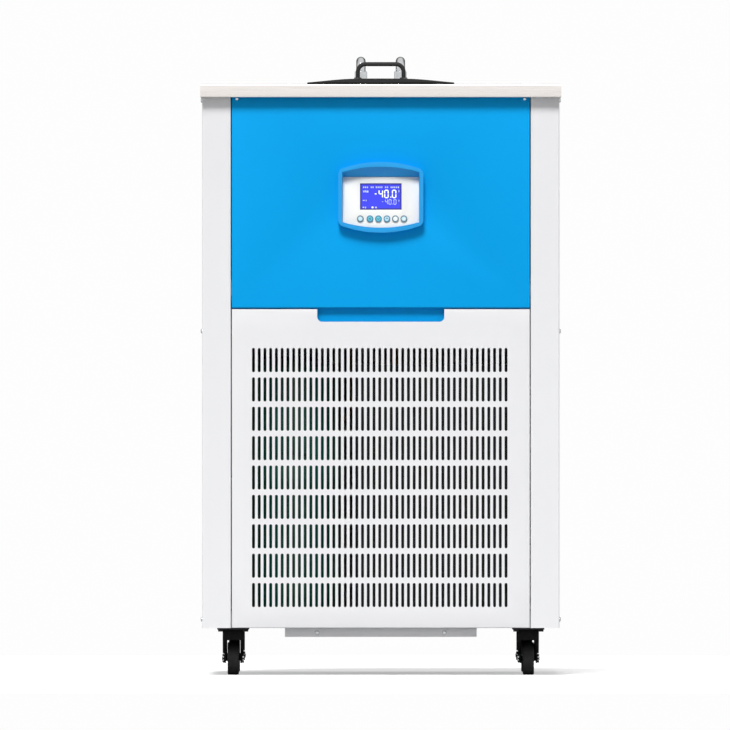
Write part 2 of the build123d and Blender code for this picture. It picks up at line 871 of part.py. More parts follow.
# Caster plates: the four square top plates under the base pan
with BuildPart() as caster_plates:
    with BuildSketch(Plane.XY.offset(caster_height)):
        with GridLocations(2 * caster_x, 2 * caster_y, 2, 2):
            Rectangle(caster_plate, caster_plate)
    extrude(amount=-caster_plate_sheet)
keep(caster_plates, "caster_plates")


def caster(number, x, y):
    """Swivelling fork with its axle, and the wheel that turns on it. The wheel trails to the rear."""
    axle_y = y + caster_trail
    leg_inside = fork_width / 2 - fork_leg
    toe_outside = leg_inside + fork_toe
    crown_top = caster_height - caster_plate_sheet - running_clearance
    with BuildPart() as fork:
        with BuildSketch(Plane.YZ.offset(x)):
            with BuildLine():
                Polyline(
                    (y - fork_length / 2, crown_top),
                    (y - fork_length / 2, fork_crown_height),
                    (axle_y - fork_boss, fork_shoulder_height),
                    (axle_y + fork_boss, fork_shoulder_height),
                    (axle_y + fork_boss, fork_crown_height),
                    (y + fork_length / 2, crown_top),
                    close=True,
                )
            make_face()
        extrude(amount=fork_width / 2, both=True)
        with BuildSketch(Plane.YZ.offset(x)):
            with Locations((axle_y, (fork_toe_height + fork_shoulder_height) / 2)):
                Rectangle(2 * fork_boss, fork_shoulder_height - fork_toe_height)
        extrude(amount=toe_outside, both=True)
        with BuildSketch(Plane.YZ.offset(x)):
            with Locations((axle_y, wheel_radius)):
                RegularPolygon(axle_head / 2, 6, major_radius=False)
        extrude(amount=toe_outside + axle_head_thickness, both=True)
        with BuildSketch(Plane.YZ.offset(x)):
            with Locations((axle_y, fork_crown_height / 2)):
                Rectangle(4 * wheel_radius, fork_crown_height)
        extrude(amount=leg_inside, both=True, mode=Mode.SUBTRACT)
        with BuildSketch(Plane.YZ.offset(x)):
            with Locations((axle_y, wheel_radius)):
                Circle(axle_radius)
        extrude(amount=leg_inside, both=True)
    keep(fork, f"caster_fork_{number}")
    with BuildPart() as wheel:
        with BuildSketch(Plane.YZ.offset(x)):
            with Locations((axle_y, wheel_radius)):
                RegularPolygon(
                    wheel_radius, wheel_flats, major_radius=False, rotation=180 / wheel_flats
                )
                Circle(axle_radius + running_clearance, mode=Mode.SUBTRACT)
        extrude(amount=wheel_width / 2, both=True)
    keep(wheel, f"caster_wheel_{number}")


caster(1, -caster_x, -caster_y)
caster(2, caster_x, -caster_y)
caster(3, -caster_x, caster_y)
caster(4, caster_x, caster_y)
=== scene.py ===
import math
from itertools import product

import bmesh
import bpy
from mathutils import Matrix, Vector


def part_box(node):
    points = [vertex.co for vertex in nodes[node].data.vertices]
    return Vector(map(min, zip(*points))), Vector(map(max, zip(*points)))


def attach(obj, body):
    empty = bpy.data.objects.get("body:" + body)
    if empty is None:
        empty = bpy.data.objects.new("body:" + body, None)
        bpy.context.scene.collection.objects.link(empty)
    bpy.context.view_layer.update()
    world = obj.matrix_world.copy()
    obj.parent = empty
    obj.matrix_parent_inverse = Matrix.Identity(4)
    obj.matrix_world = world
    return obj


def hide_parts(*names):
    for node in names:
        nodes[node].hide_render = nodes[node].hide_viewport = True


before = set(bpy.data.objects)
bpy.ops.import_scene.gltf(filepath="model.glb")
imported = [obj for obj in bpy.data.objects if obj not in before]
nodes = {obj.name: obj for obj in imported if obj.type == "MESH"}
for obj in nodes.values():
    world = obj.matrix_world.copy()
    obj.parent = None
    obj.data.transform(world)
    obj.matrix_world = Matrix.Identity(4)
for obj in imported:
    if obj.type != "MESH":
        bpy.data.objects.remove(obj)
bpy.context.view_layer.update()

# Recirculating chiller, dressed. Metres, +Z up, the control pod faces -Y.
MM = 0.001
CABINET = "cabinet"

# Points closer than this are one point.
WELD = 1e-6

# Noise seldom leaves this part of its range.
NOISE_LOW, NOISE_HIGH = 0.3, 0.7


# Colours and nodes

def linear(hex_colour, alpha=1.0):
    """Turns an sRGB hex colour into the linear values that a shader takes."""
    channels = [int(hex_colour[i:i + 2], 16) / 255 for i in (1, 3, 5)]
    curve = [c / 12.92 if c <= 0.04045 else ((c + 0.055) / 1.055) ** 2.4 for c in channels]
    return (*curve, alpha)


def add(tree, kind, links=(), **settings):
    """Adds a node, sets its properties or inputs by name, and links other nodes' outputs to it."""
    node = tree.nodes.new(kind)
    for key, value in settings.items():
        if hasattr(node, key):
            setattr(node, key, value)
        else:
            node.inputs[key.replace("_", " ")].default_value = value
    for output, name in links:
        tree.links.new(output, node.inputs[name])
    return node


def surface(name, **settings):
    """A new material with one Principled shader, and its tree."""
    material = bpy.data.materials.new(name)
    material.use_nodes = True
    tree = material.node_tree
    shader = tree.nodes["Principled BSDF"]
    for key, value in settings.items():
        shader.inputs[key.replace("_", " ")].default_value = value
    return material, tree


def feed(tree, output, name):
    """Links an output to an input of the material's shader."""
    tree.links.new(output, tree.nodes["Principled BSDF"].inputs[name])


def pattern(tree, kind, size, stretch=(1, 1, 1), **settings):
    """Outputs of a procedural texture of a kind, scaled to the given size in metres.

    It lies in the object's own coordinates, stretched along the axes.
    """
    place = add(tree, "ShaderNodeTexCoord").outputs["Object"]
    space = add(tree, "ShaderNodeMapping", [(place, "Vector")], Scale=stretch).outputs["Vector"]
    links = [(space, "Vector")]
    return add(tree, f"ShaderNodeTex{kind}", links, Scale=1 / size, **settings).outputs


def two_tone(tree, factor, dark, light):
    """Base colour that goes from dark to light as a factor rises."""
    tone = add(tree, "ShaderNodeMix", [(factor, "Factor")], data_type="RGBA")
    tone.inputs["A"].default_value = linear(dark)
    tone.inputs["B"].default_value = linear(light)
    feed(tree, tone.outputs["Result"], "Base Color")


def mottle(tree, size, light, dark, detail=3.0, stretch=(1, 1, 1)):
    """Colour that drifts between two tones over patches of the given size in metres."""
    noise = pattern(tree, "Noise", size, stretch, Detail=detail, Roughness=0.55)["Fac"]
    two_tone(tree, noise, dark, light)
    return noise


def relief(tree, height, depth, strength):
    """Bump of the given depth in metres from a height output."""
    bump = add(tree, "ShaderNodeBump", [(height, "Height")], Strength=strength, Distance=depth)
    feed(tree, bump.outputs["Normal"], "Normal")


def gloss_range(tree, fac, low, high):
    """Roughness that follows a pattern between two values. Noise seldom leaves its middle part."""
    spread = add(
        tree, "ShaderNodeMapRange", [(fac, "Value")], From_Min=NOISE_LOW, From_Max=NOISE_HIGH,
        To_Min=low, To_Max=high,
    )
    feed(tree, spread.outputs["Result"], "Roughness")


def worked(tree, fac, depth, strength, low, high):
    """Bump and roughness that both follow one pattern."""
    relief(tree, fac, depth, strength)
    gloss_range(tree, fac, low, high)


# Finishes. Each is named for the real material and for how its surface was made.

def powder_coat(name, light, dark, roughness=0.42, shine=0.35):
    """Polyester powder coat on sheet steel: sprayed, then baked to a fine orange peel.

    The peel's cells are 1.2 mm wide and a few hundredths deep, so highlights break up softly.
    """
    patch, peel_size, peel_depth = 180 * MM, 2.4 * MM, 0.04 * MM
    material, tree = surface(name, Roughness=roughness, IOR=1.5, Specular_IOR_Level=shine)
    mottle(tree, patch, light, dark, detail=2.0)
    peel = pattern(tree, "Noise", peel_size, Detail=2.0, Roughness=0.5)["Fac"]
    worked(tree, peel, peel_depth, 0.5, roughness - 0.04, roughness + 0.06)
    return material


def brushed_stainless(name, light, dark, along):
    """Stainless steel sheet, belt-brushed along one axis.

    The grit leaves hair lines about 0.5 mm apart and tens of millimetres long, drawn coarser
    than the real 0.1 mm ones so that they show.
    """
    roughness, line_stretch, line_size, line_depth = 0.3, 0.02, 1.6 * MM, 0.02 * MM
    material, tree = surface(name, Metallic=1.0, Roughness=roughness)
    stretch = [line_stretch if axis == along else 1.0 for axis in "XYZ"]
    lines = mottle(tree, line_size, light, dark, 4.0, stretch)
    worked(tree, lines, line_depth, 0.35, roughness - 0.07, roughness + 0.08)
    return material


def polished_steel(name, light, dark, roughness=0.12):
    """Drawn stainless tube and turned fittings, buffed. Faint swirls stay in the shine."""
    swirl_size, swirl_depth = 4 * MM, 0.03 * MM
    material, tree = surface(name, Metallic=1.0, Roughness=roughness)
    swirl = mottle(tree, swirl_size, light, dark)
    worked(tree, swirl, swirl_depth, 0.3, roughness - 0.04, roughness + 0.06)
    return material


def moulded_plastic(name, light, dark, roughness, shine=0.5):
    """Injection-moulded plastic: an even body colour with the spark-eroded grain of its mould."""
    patch, pit_size, pit_depth = 50 * MM, 0.9 * MM, 0.03 * MM
    material, tree = surface(name, Roughness=roughness, IOR=1.49, Specular_IOR_Level=shine)
    mottle(tree, patch, light, dark, detail=2.0)
    pits = pattern(tree, "Noise", pit_size, Detail=3.0, Roughness=0.6)["Fac"]
    worked(tree, pits, pit_depth, 0.5, roughness - 0.05, roughness + 0.07)
    return material


def galvanised(name):
    """Hot-dip galvanised sheet: zinc frozen into flat spangles about 12 mm across."""
    spangle_size = 12 * MM
    material, tree = surface(name, Metallic=1.0, Roughness=0.42)
    spangle = pattern(tree, "Voronoi", spangle_size, feature="F1", Randomness=1.0)
    value = add(tree, "ShaderNodeSeparateColor", [(spangle["Color"], "Color")]).outputs
    two_tone(tree, value["Red"], "#9A9EA2", "#BFC3C6")
    gloss_range(tree, value["Green"], 0.34, 0.5)
    return material


def vulcanised_rubber(name):
    """Black tread rubber, moulded: matt, with dusty grey patches where it has rolled."""
    patch, dust_depth = 12 * MM, 0.1 * MM
    material, tree = surface(name, Roughness=0.72, IOR=1.52)
    dust = mottle(tree, patch, "#1D1D1E", "#0D0D0E", detail=5.0)
    worked(tree, dust, dust_depth, 0.4, 0.62, 0.82)
    return material


def black_fins(name):
    """Condenser core: aluminium fins dipped in black lacquer, faintly rippled by the press."""
    patch, ripple_size, ripple_depth = 20 * MM, 36 * MM, 0.4 * MM
    material, tree = surface(name, Metallic=0.3, Roughness=0.5)
    mottle(tree, patch, "#26272A", "#0B0B0D", detail=4.0)
    ripple = pattern(
        tree, "Wave", ripple_size, wave_type="BANDS", bands_direction="X", Distortion=0.4,
    )["Fac"]
    relief(tree, ripple, ripple_depth, 0.8)
    return material


def closed_cell_foam(name):
    """Black nitrile foam sheet: matt skin with 1.5 mm cells."""
    patch, cell_size, cell_depth = 30 * MM, 1.5 * MM, 0.2 * MM
    material, tree = surface(name, Roughness=0.85, IOR=1.45)
    cells = pattern(tree, "Voronoi", cell_size)["Distance"]
    mottle(tree, patch, "#232324", "#131314")
    relief(tree, cells, cell_depth, 0.6)
    return material


def lit_screen(name):
    """Backlit blue display under a polarising film: its own light, cut into 0.5 mm picture cells."""
    patch, cell_size, cell_depth = 20 * MM, 0.5 * MM, 0.02 * MM
    material, tree = surface(
        name, Roughness=0.18, IOR=1.5, Emission_Color=linear("#3A44F0"), Emission_Strength=0.2,
    )
    glow = mottle(tree, patch, "#3B42E4", "#343ADA", detail=1.0)
    cells = pattern(
        tree, "Voronoi", cell_size, distance="CHEBYCHEV", Randomness=0.0,
    )["Distance"]
    relief(tree, cells, cell_depth, 0.3)
    gloss_range(tree, glow, 0.14, 0.24)
    return material


def lit_mark(name, colour, strength):
    """A driven cell of the display, brighter than its ground."""
    patch = 4 * MM
    material, tree = surface(
        name, Roughness=0.2, IOR=1.5, Emission_Color=linear(colour), Emission_Strength=strength,
    )
    mottle(tree, patch, colour, "#C9D4FF")
    return material


def solder_mask(name):
    """Printed circuit board: green lacquer over copper tracks."""
    tracks_per_metre = 120
    material, tree = surface(name, Roughness=0.35, IOR=1.5)
    tracks = pattern(
        tree, "Brick", 1 / tracks_per_metre, Color1=linear("#12522C"),
        Color2=linear("#0E4425"), Mortar=linear("#2A7A46"),
    )
    feed(tree, tracks["Color"], "Base Color")
    return material


def copper_tube(name):
    """Annealed copper: warm, with darker stains where it was bent and brazed."""
    patch = 20 * MM
    material, tree = surface(name, Metallic=1.0, Roughness=0.3)
    stain = mottle(tree, patch, "#D08A63", "#8C4E31", detail=5.0)
    gloss_range(tree, stain, 0.22, 0.42)
    return material


def studio_floor(name):
    """Pale studio paper. The camera sees it nearly white, with a light shadow.

    To the object it is a mid grey, so that it returns about half of the light.
    """
    own_light = 0.4
    material, tree = surface(
        name, Roughness=0.9, Specular_IOR_Level=0.0, Emission_Color=(1, 1, 1, 1),
    )
    seen = add(tree, "ShaderNodeLightPath").outputs["Is Camera Ray"]
    two_tone(tree, seen, "#BCBCBC", "#FDFDFD")
    lift = add(tree, "ShaderNodeMapRange", [(seen, "Value")], To_Max=own_light)
    feed(tree, lift.outputs["Result"], "Emission Strength")
    return material


white_coat = powder_coat("powder_coat_white", "#EFEFF1", "#EBEBED")
blue_coat = powder_coat("powder_coat_blue", "#01A6EE", "#01A2EA", roughness=0.5, shine=0.1)
grey_coat = powder_coat("powder_coat_grey", "#F0F0F1", "#E8E8EA")
green_coat = powder_coat("compressor_enamel_green", "#0C5F4B", "#063A2E", roughness=0.35)
black_coat = powder_coat("powder_coat_black", "#1C1C1E", "#121213")
motor_coat = powder_coat("motor_enamel_grey", "#4B4F54", "#3A3D41")
deck_steel = brushed_stainless("stainless_brushed", "#F6F1ED", "#E6E0DB", "X")
satin_steel = brushed_stainless("stainless_satin", "#D8D6D3", "#BEBCB9", "Z")
bright_steel = polished_steel("stainless_polished", "#DADCDD", "#B2B5B8")
screw_steel = polished_steel("screw_zinc_bright", "#E2E4E6", "#B9BCBF", roughness=0.2)
brass_plate = polished_steel("brass_nickel_plated", "#CFC7B2", "#A89F88", roughness=0.25)
blue_abs = moulded_plastic("abs_blue", "#2BA6EC", "#259FE6", 0.4, shine=0.3)
white_abs = moulded_plastic("abs_white", "#F4F4F2", "#EFEFED", 0.5, shine=0.3)
black_pom = moulded_plastic("acetal_black", "#1A1A1A", "#141414", 0.6, shine=0.12)
grip_nylon = moulded_plastic("nylon_grip_black", "#343434", "#2C2C2C", 0.6, shine=0.2)
fork_nylon = moulded_plastic("nylon_fork_black", "#0C0C0D", "#070708", 0.5, shine=0.15)
fan_plastic = moulded_plastic("polypropylene_fan", "#202124", "#141517", 0.5)
gland_plastic = moulded_plastic("polyamide_gland", "#1B1B1D", "#101011", 0.45)
key_ring_blue = moulded_plastic("abs_key_ring_blue", "#4F93B4", "#3F82A4", 0.35)
key_ring_grey = moulded_plastic("abs_key_ring_grey", "#6E8A98", "#5A7684", 0.35)
key_face_pale = moulded_plastic("abs_key_face_pale", "#CBE9F6", "#B5DEF0", 0.3)
key_face_cyan = moulded_plastic("abs_key_face_cyan", "#6FD0E2", "#57B9CF", 0.3)
key_face_white = moulded_plastic("abs_key_face_white", "#F2F8FA", "#E6F0F4", 0.3)
key_icon_teal = moulded_plastic("key_print_teal", "#2E7F93", "#256C7E", 0.4)
key_icon_white = moulded_plastic("key_print_white", "#F4FBFE", "#E6F3F8", 0.4)
tread_rubber = vulcanised_rubber("rubber_tread")
zinc_sheet = galvanised("galvanised_sheet")
core_fins = black_fins("aluminium_fins_black")
foam_skin = closed_cell_foam("nitrile_foam")
screen_glow = lit_screen("lcd_backlit")
screen_frame = moulded_plastic("lcd_frame_violet", "#2C2A9A", "#26248A", 0.3)
digit_light = lit_mark("lcd_digit_bright", "#F4F6FF", 0.6)
digit_dim = lit_mark("lcd_digit_dim", "#A9B4FF", 0.25)
board_lacquer = solder_mask("solder_mask_green")
copper_line = copper_tube("copper_drawn")
line_lagging = moulded_plastic("line_lagging_grey", "#7C7F83", "#6C6F73", 0.7)
floor_white = studio_floor("studio_paper")


# Mesh helpers

def in_mm(points):
    """Points whose numbers are millimetres, in metres."""
    return [tuple(value * MM for value in point) for point in points]


def points_of(geom):
    """The vertices among mixed geometry."""
    return [g for g in geom if isinstance(g, bmesh.types.BMVert)]


def in_scene(name, data):
    """A new object of the scene that shows the data."""
    made = bpy.data.objects.new(name, data)
    bpy.context.scene.collection.objects.link(made)
    return made


def settle(bm, name, material, replaced=(), body=CABINET, smooth=30):
    """Turns a bmesh into a piece that rides on a body. Smooth is the angle up to which faces blend."""
    bmesh.ops.remove_doubles(bm, verts=bm.verts[:], dist=WELD)
    bmesh.ops.recalc_face_normals(bm, faces=bm.faces[:])
    mesh = bpy.data.meshes.new(name)
    bm.to_mesh(mesh)
    bm.free()
    piece = in_scene(name, mesh)
    mesh.materials.append(material)
    mesh.shade_smooth()
    mesh.set_sharp_from_angle(angle=math.radians(smooth))
    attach(piece, body)
    if replaced:
        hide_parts(*replaced)


def carry(bm, matrix, verts=None):
    """Moves vertices, or else the whole mesh, by a matrix."""
    bmesh.ops.transform(bm, matrix=matrix, verts=verts or bm.verts[:])


def block(bm, low, high, soft=0.0, segments=2):
    """Adds a box between two corners, with rounded edges if asked, and returns its vertices."""
    low, high = Vector(low), Vector(high)
    verts = bmesh.ops.create_cube(bm, size=1)["verts"]
    bmesh.ops.scale(bm, vec=high - low, verts=verts)
    bmesh.ops.translate(bm, vec=(low + high) / 2, verts=verts)
    if soft:
        made = soften(bm, edges_of(verts), soft, segments)
        verts = list(set(made["verts"]) | {v for v in verts if v.is_valid})
    return verts


def edges_of(verts):
    """The edges whose two ends are both among the vertices."""
    chosen = set(verts)
    return list({e for v in verts for e in v.link_edges if e.other_vert(v) in chosen})


def soften(bm, geom, width, segments, affect="EDGES"):
    """Rounds edges, or the corner points of a sheet, with a circular bevel."""
    return bmesh.ops.bevel(
        bm, geom=geom, offset=width, offset_type="OFFSET", segments=segments, profile=0.5,
        affect=affect, clamp_overlap=True, material=-1,
    )


def facing(axis):
    """Rotation that turns +Z to an axis."""
    return Vector(axis).to_track_quat("Z", "Y").to_matrix().to_4x4()


def rod(bm, start, end, radius, segments, end_radius=None):
    """Adds a closed round bar or cone between two points and returns its vertices."""
    start, end = Vector(start), Vector(end)
    return bmesh.ops.create_cone(
        bm, cap_ends=True, segments=segments, radius1=radius,
        radius2=radius if end_radius is None else end_radius, depth=(end - start).length,
        matrix=Matrix.Translation((start + end) / 2) @ facing(end - start),
    )["verts"]


def turned(bm, profile, centre, axis=(0, 0, 1), segments=64):
    """Spins a profile of (radius, height) points about an axis through the centre, as on a lathe."""
    before = set(bm.verts)
    points = [bm.verts.new((radius, 0, height)) for radius, height in profile]
    edges = [bm.edges.new(pair) for pair in zip(points, points[1:])]
    bmesh.ops.spin(
        bm, geom=points + edges, cent=(0, 0, 0), axis=(0, 0, 1), angle=math.tau,
        steps=segments, use_merge=True, use_duplicate=False,
    )
    made = [v for v in bm.verts if v not in before]
    bmesh.ops.remove_doubles(bm, verts=made, dist=WELD)
    made = [v for v in bm.verts if v not in before]
    carry(bm, Matrix.Translation(centre) @ facing(axis), made)
    return made


def nut(bm, base, axis, flats, height):
    """Adds a chamfered hexagon that stands on its base point."""
    radius, chamfer = flats / math.sqrt(3), 0.045 * flats
    verts = bmesh.ops.create_cone(
        bm, cap_ends=True, segments=6, radius1=radius, radius2=radius, depth=height,
        matrix=Matrix.Translation(base) @ facing(axis) @ Matrix.Translation((0, 0, height / 2)),
    )["verts"]
    soften(bm, edges_of(verts), chamfer, 2)


def rounded_path(corners, bend, steps):
    """Points along straight runs whose corners are arcs of the given radius."""
    corners = [Vector(c) for c in corners]
    path = [corners[0]]
    for before, corner, after in zip(corners, corners[1:], corners[2:]):
        back = (before - corner).normalized()
        ahead = (after - corner).normalized()
        half = back.angle(ahead) / 2
        reach = bend / math.tan(half)
        hub = corner + (back + ahead).normalized() * bend / math.sin(half)
        first = corner + back * reach - hub
        last = corner + ahead * reach - hub
        sweep = first.angle(last)
        pivot = first.cross(last).normalized()
        path += [hub + Matrix.Rotation(sweep * s / steps, 3, pivot) @ first for s in range(steps + 1)]
    return path + [corners[-1]]


def tube(bm, corners, radius, bend, segments, steps, bore=0.0, bore_depth=0.0):
    """Sweeps a circle along a path with rounded corners. A bore hollows its far end."""
    path = rounded_path(corners, bend, steps)
    heading = (path[1] - path[0]).normalized()
    turn = heading.to_track_quat("Z", "Y")

    def ring(place, size):
        lay = Matrix.Translation(place) @ turn.to_matrix().to_4x4()
        circle = bmesh.ops.create_circle(bm, segments=segments, radius=size, matrix=lay)
        return edges_of(circle["verts"])

    rings = []
    for index, place in enumerate(path):
        ahead = path[min(index + 1, len(path) - 1)] - path[max(index - 1, 0)]
        turn = heading.rotation_difference(ahead.normalized()) @ turn
        heading = ahead.normalized()
        rings.append(ring(place, radius))
    if bore:
        for depth in (0.0, bore_depth):
            rings.append(ring(path[-1] - heading * depth, bore))
    for near, far in zip(rings, rings[1:]):
        bmesh.ops.bridge_loops(bm, edges=near + far)
    for end in (rings[0], rings[-1]):
        bmesh.ops.contextual_create(bm, geom=end)


def rectangle(x, y, width, height):
    """Outline of a rectangle about its middle."""
    return [(x + i * width / 2, y + j * height / 2) for i, j in ((-1, -1), (1, -1), (1, 1), (-1, 1))]


def slab(bm, outline, thickness, place):
    """Adds a flat plate with an outline of (x, y) points, its top raised by the thickness."""
    points = [bm.verts.new((x, y, 0)) for x, y in outline]
    face = bm.faces.new(points)
    top = points_of(bmesh.ops.extrude_face_region(bm, geom=[face])["geom"])
    bmesh.ops.translate(bm, vec=(0, 0, thickness), verts=top)
    carry(bm, place, points + top)


def merged_copy(node):
    """A bmesh of a CAD node with its loose triangles joined into clean flat faces."""
    bm = bmesh.new()
    bm.from_mesh(nodes[node].data)
    bmesh.ops.remove_doubles(bm, verts=bm.verts[:], dist=2 * WELD)
    bmesh.ops.dissolve_limit(
        bm, angle_limit=math.radians(0.5), verts=bm.verts[:], edges=bm.edges[:],
    )
    return bm


def sharp_edges(bm, angle=35, where=lambda point: True):
    """Edges that turn by more than an angle and whose middle passes a test."""
    return [
        e for e in bm.edges
        if len(e.link_faces) == 2 and e.calc_face_angle() > math.radians(angle)
        and where((e.verts[0].co + e.verts[1].co) / 2)
    ]


def softened_node(node, name, material, width, body=CABINET, segments=2):
    """Stands for a CAD node with the same solid, its sharp edges rounded."""
    bm = merged_copy(node)
    soften(bm, sharp_edges(bm), width, segments)
    settle(bm, name, material, (node,), body)


# Cabinet sheets

FRONT_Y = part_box("upper_front_panel")[0][1]
BACK_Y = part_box("rear_panel")[1][1]
SIDE_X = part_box("side_panel_right")[1][0]
DECK_TOP = 900 * MM

# Finishes of the CAD nodes that are carried over as they are.
CARRIED_OVER = {
    "side_panel_left": white_coat, "side_panel_right": white_coat, "notch_backing": blue_coat,
    "bath_insulation": foam_skin, "evaporator": copper_line, "bath_tank": satin_steel,
    "bath_shelf": zinc_sheet, "base_pan": zinc_sheet, "fan_bracket": zinc_sheet,
    "fan_shroud": black_coat, "suction_pipe": satin_steel, "controller_board": board_lacquer,
    "display": screen_frame,
}
for carried_node, carried_finish in CARRIED_OVER.items():
    nodes[carried_node].data.materials[0] = carried_finish


def steel_deck():
    """Folded deck whose skirt ends in a rolled lip."""
    low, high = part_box("top_deck")
    lip, near = 1.3 * MM, 0.1 * MM
    bm = merged_copy("top_deck")
    skirt = [
        e for e in bm.edges
        if all(v.co.z < low[2] + near for v in e.verts)
        and any(abs(e.verts[0].co[a] + e.verts[1].co[a]) / 2 > high[a] - near for a in (0, 1))
    ]
    soften(bm, skirt, lip, 4)
    settle(bm, "steel_deck", deck_steel, ("top_deck",))


def slotted_grille():
    """Laser-cut grille sheet: 405 round-ended slots, a finger notch and folded returns."""
    columns, rows, end_share = 45, 9, 0.999
    slot_width, slot_length = 4.4 * MM, 36.8 * MM
    pitch_x, pitch_z = 8.74 * MM, 44.73 * MM
    middle_x, middle_z = -1.6 * MM, 301.1 * MM
    notch_half, notch_depth, notch_radius = 96.75 * MM, 19 * MM, 7.5 * MM
    sheet, fold, return_depth, strip = 1.2 * MM, 1.1 * MM, 9 * MM, 30 * MM
    close = 0.01 * MM
    low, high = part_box("front_grille")
    half_x, half_z = columns * pitch_x / 2, rows * pitch_z / 2
    strip_z = high[2] - strip
    bm = bmesh.new()
    lay = Matrix.Translation((middle_x, low[1], middle_z)) @ Matrix.Rotation(math.pi / 2, 4, "X")
    bmesh.ops.create_grid(
        bm, x_segments=columns, y_segments=rows, size=1,
        matrix=lay @ Matrix.Diagonal((half_x, half_z, 1, 1)),
    )
    side_land, end_land = (pitch_x - slot_width) / 2, (pitch_z - slot_length) / 2
    cells = bm.faces[:]
    bmesh.ops.inset_individual(bm, faces=cells, thickness=side_land, use_even_offset=True)
    for cell in cells:
        centre = cell.calc_center_median().z
        for vert in cell.verts:
            vert.co.z += (side_land - end_land) * (1 if vert.co.z > centre else -1)
    corners = list({v for cell in cells for v in cell.verts})
    bmesh.ops.delete(bm, geom=cells, context="FACES_ONLY")
    soften(bm, corners, slot_width / 2 * end_share, 5, "VERTICES")

    def at_end(value, middle, half):
        return abs(abs(value - middle) - half) < close

    def rim_edges(centre_x, centre_z, wide, tall):
        return [
            e for e in bm.edges if e.is_boundary and all(
                at_end(v.co.x, centre_x, wide) or at_end(v.co.z, centre_z, tall) for v in e.verts
            )
        ]

    rim = rim_edges(middle_x, middle_z, half_x, half_z)
    outer = bmesh.ops.extrude_edge_only(bm, edges=rim)["geom"]
    for vert in points_of(outer):
        if at_end(vert.co.x, middle_x, half_x):
            vert.co.x = math.copysign(high[0], vert.co.x)
        if at_end(vert.co.z, middle_z, half_z):
            vert.co.z = strip_z if vert.co.z > middle_z else low[2]
    ledge = sorted(
        (v for v in bm.verts if abs(v.co.z - strip_z) < close), key=lambda v: v.co.x,
    )
    top = [
        (high[0], high[2]), (notch_half, high[2]), (notch_half, high[2] - notch_depth),
        (-notch_half, high[2] - notch_depth), (-notch_half, high[2]), (low[0], high[2]),
    ]
    crown = [bm.verts.new((x, low[1], z)) for x, z in top]
    bm.faces.new(ledge + crown)
    soften(bm, crown[2:4], notch_radius, 8, "VERTICES")
    folds = rim_edges(0, (low[2] + high[2]) / 2, high[0], (high[2] - low[2]) / 2)
    returns = bmesh.ops.extrude_edge_only(bm, edges=folds)["geom"]
    bmesh.ops.translate(bm, vec=(0, return_depth, 0), verts=points_of(returns))
    bmesh.ops.recalc_face_normals(bm, faces=bm.faces[:])
    soften(bm, [e for e in folds if e.is_valid], fold, 3)
    bmesh.ops.recalc_face_normals(bm, faces=bm.faces[:])
    bmesh.ops.solidify(bm, geom=bm.faces[:], thickness=sheet)
    settle(bm, "slotted_grille", white_coat, ("front_grille",), "grille_door")


def button_screw(name, place, outward, radius, height):
    """Bright button-head screw with a hexagon socket."""
    bm = bmesh.new()
    head = [
        (0.0, 0.35 * height), (0.42 * radius, 0.35 * height), (0.44 * radius, 0.97 * height),
        (0.52 * radius, height), (0.74 * radius, 0.88 * height), (0.92 * radius, 0.6 * height),
        (radius, 0.22 * height), (radius, 0.0), (0.0, 0.0),
    ]
    turned(bm, head, place, outward, 24)
    settle(bm, name, screw_steel, smooth=50)


def cabinet_screws():
    """Screws of the blue panel, the side sheets, the drip tray and the rear panel."""
    blue_x, blue_z, blue_radius = 219 * MM, 877.6 * MM, 2.5 * MM
    tray_x, tray_z, tray_radius, rise = 97 * MM, 64.6 * MM, 3.3 * MM, 1.4 * MM
    sheet_radius, sheet_rise = 3.6 * MM, 2.2 * MM
    side_y, side_levels = 268 * MM, (875.6 * MM, 524 * MM, 85 * MM)
    rear_x, rear_levels = 246 * MM, (90 * MM, 350 * MM, 620 * MM, 862 * MM)
    tray_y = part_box("drip_tray")[0][1]
    for side, hand in ((-1, "left"), (1, "right")):
        blue_place = (side * blue_x, FRONT_Y, blue_z)
        tray_place = (side * tray_x, tray_y, tray_z)
        button_screw(f"panel_screw_{hand}", blue_place, (0, -1, 0), blue_radius, rise)
        button_screw(f"tray_screw_{hand}", tray_place, (0, -1, 0), tray_radius, rise)
        for level, height in enumerate(side_levels):
            for end, along in (("front", -side_y), ("back", side_y)):
                button_screw(
                    f"side_screw_{hand}_{end}_{level}", (side * SIDE_X, along, height), (side, 0, 0),
                    sheet_radius, sheet_rise,
                )
        for level, height in enumerate(rear_levels):
            button_screw(
                f"rear_screw_{hand}_{level}", (side * rear_x, BACK_Y, height), (0, 1, 0),
                sheet_radius, sheet_rise,
            )


steel_deck()
slotted_grille()
softened_node("upper_front_panel", "blue_panel", blue_coat, 0.5 * MM)
softened_node("drip_tray", "drip_pan", grey_coat, 0.4 * MM)
softened_node("rear_panel", "vented_back", white_coat, 0.35 * MM)
cabinet_screws()


# Control pod. Its own frame: X to the right, Y up the leaning fascia, Z out of it.

POD_ORIGIN = Vector((0, -305.5 * MM, 681.2 * MM))
POD_LEAN = math.radians(8.5)
POD = Matrix.Translation(POD_ORIGIN) @ Matrix.Rotation(math.pi / 2 - POD_LEAN, 4, "X")


def pod_shell():
    """Moulded bezel whose rim is rounded inside and out."""
    rim_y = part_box("pod_bezel")[0][1]
    rim_round = 2.4 * MM
    bm = merged_copy("pod_bezel")
    soften(bm, sharp_edges(bm, 50, lambda p: p.y < rim_y + 0.2 * MM), rim_round, 5)
    settle(bm, "pod_shell", blue_abs, ("pod_bezel",), smooth=40)


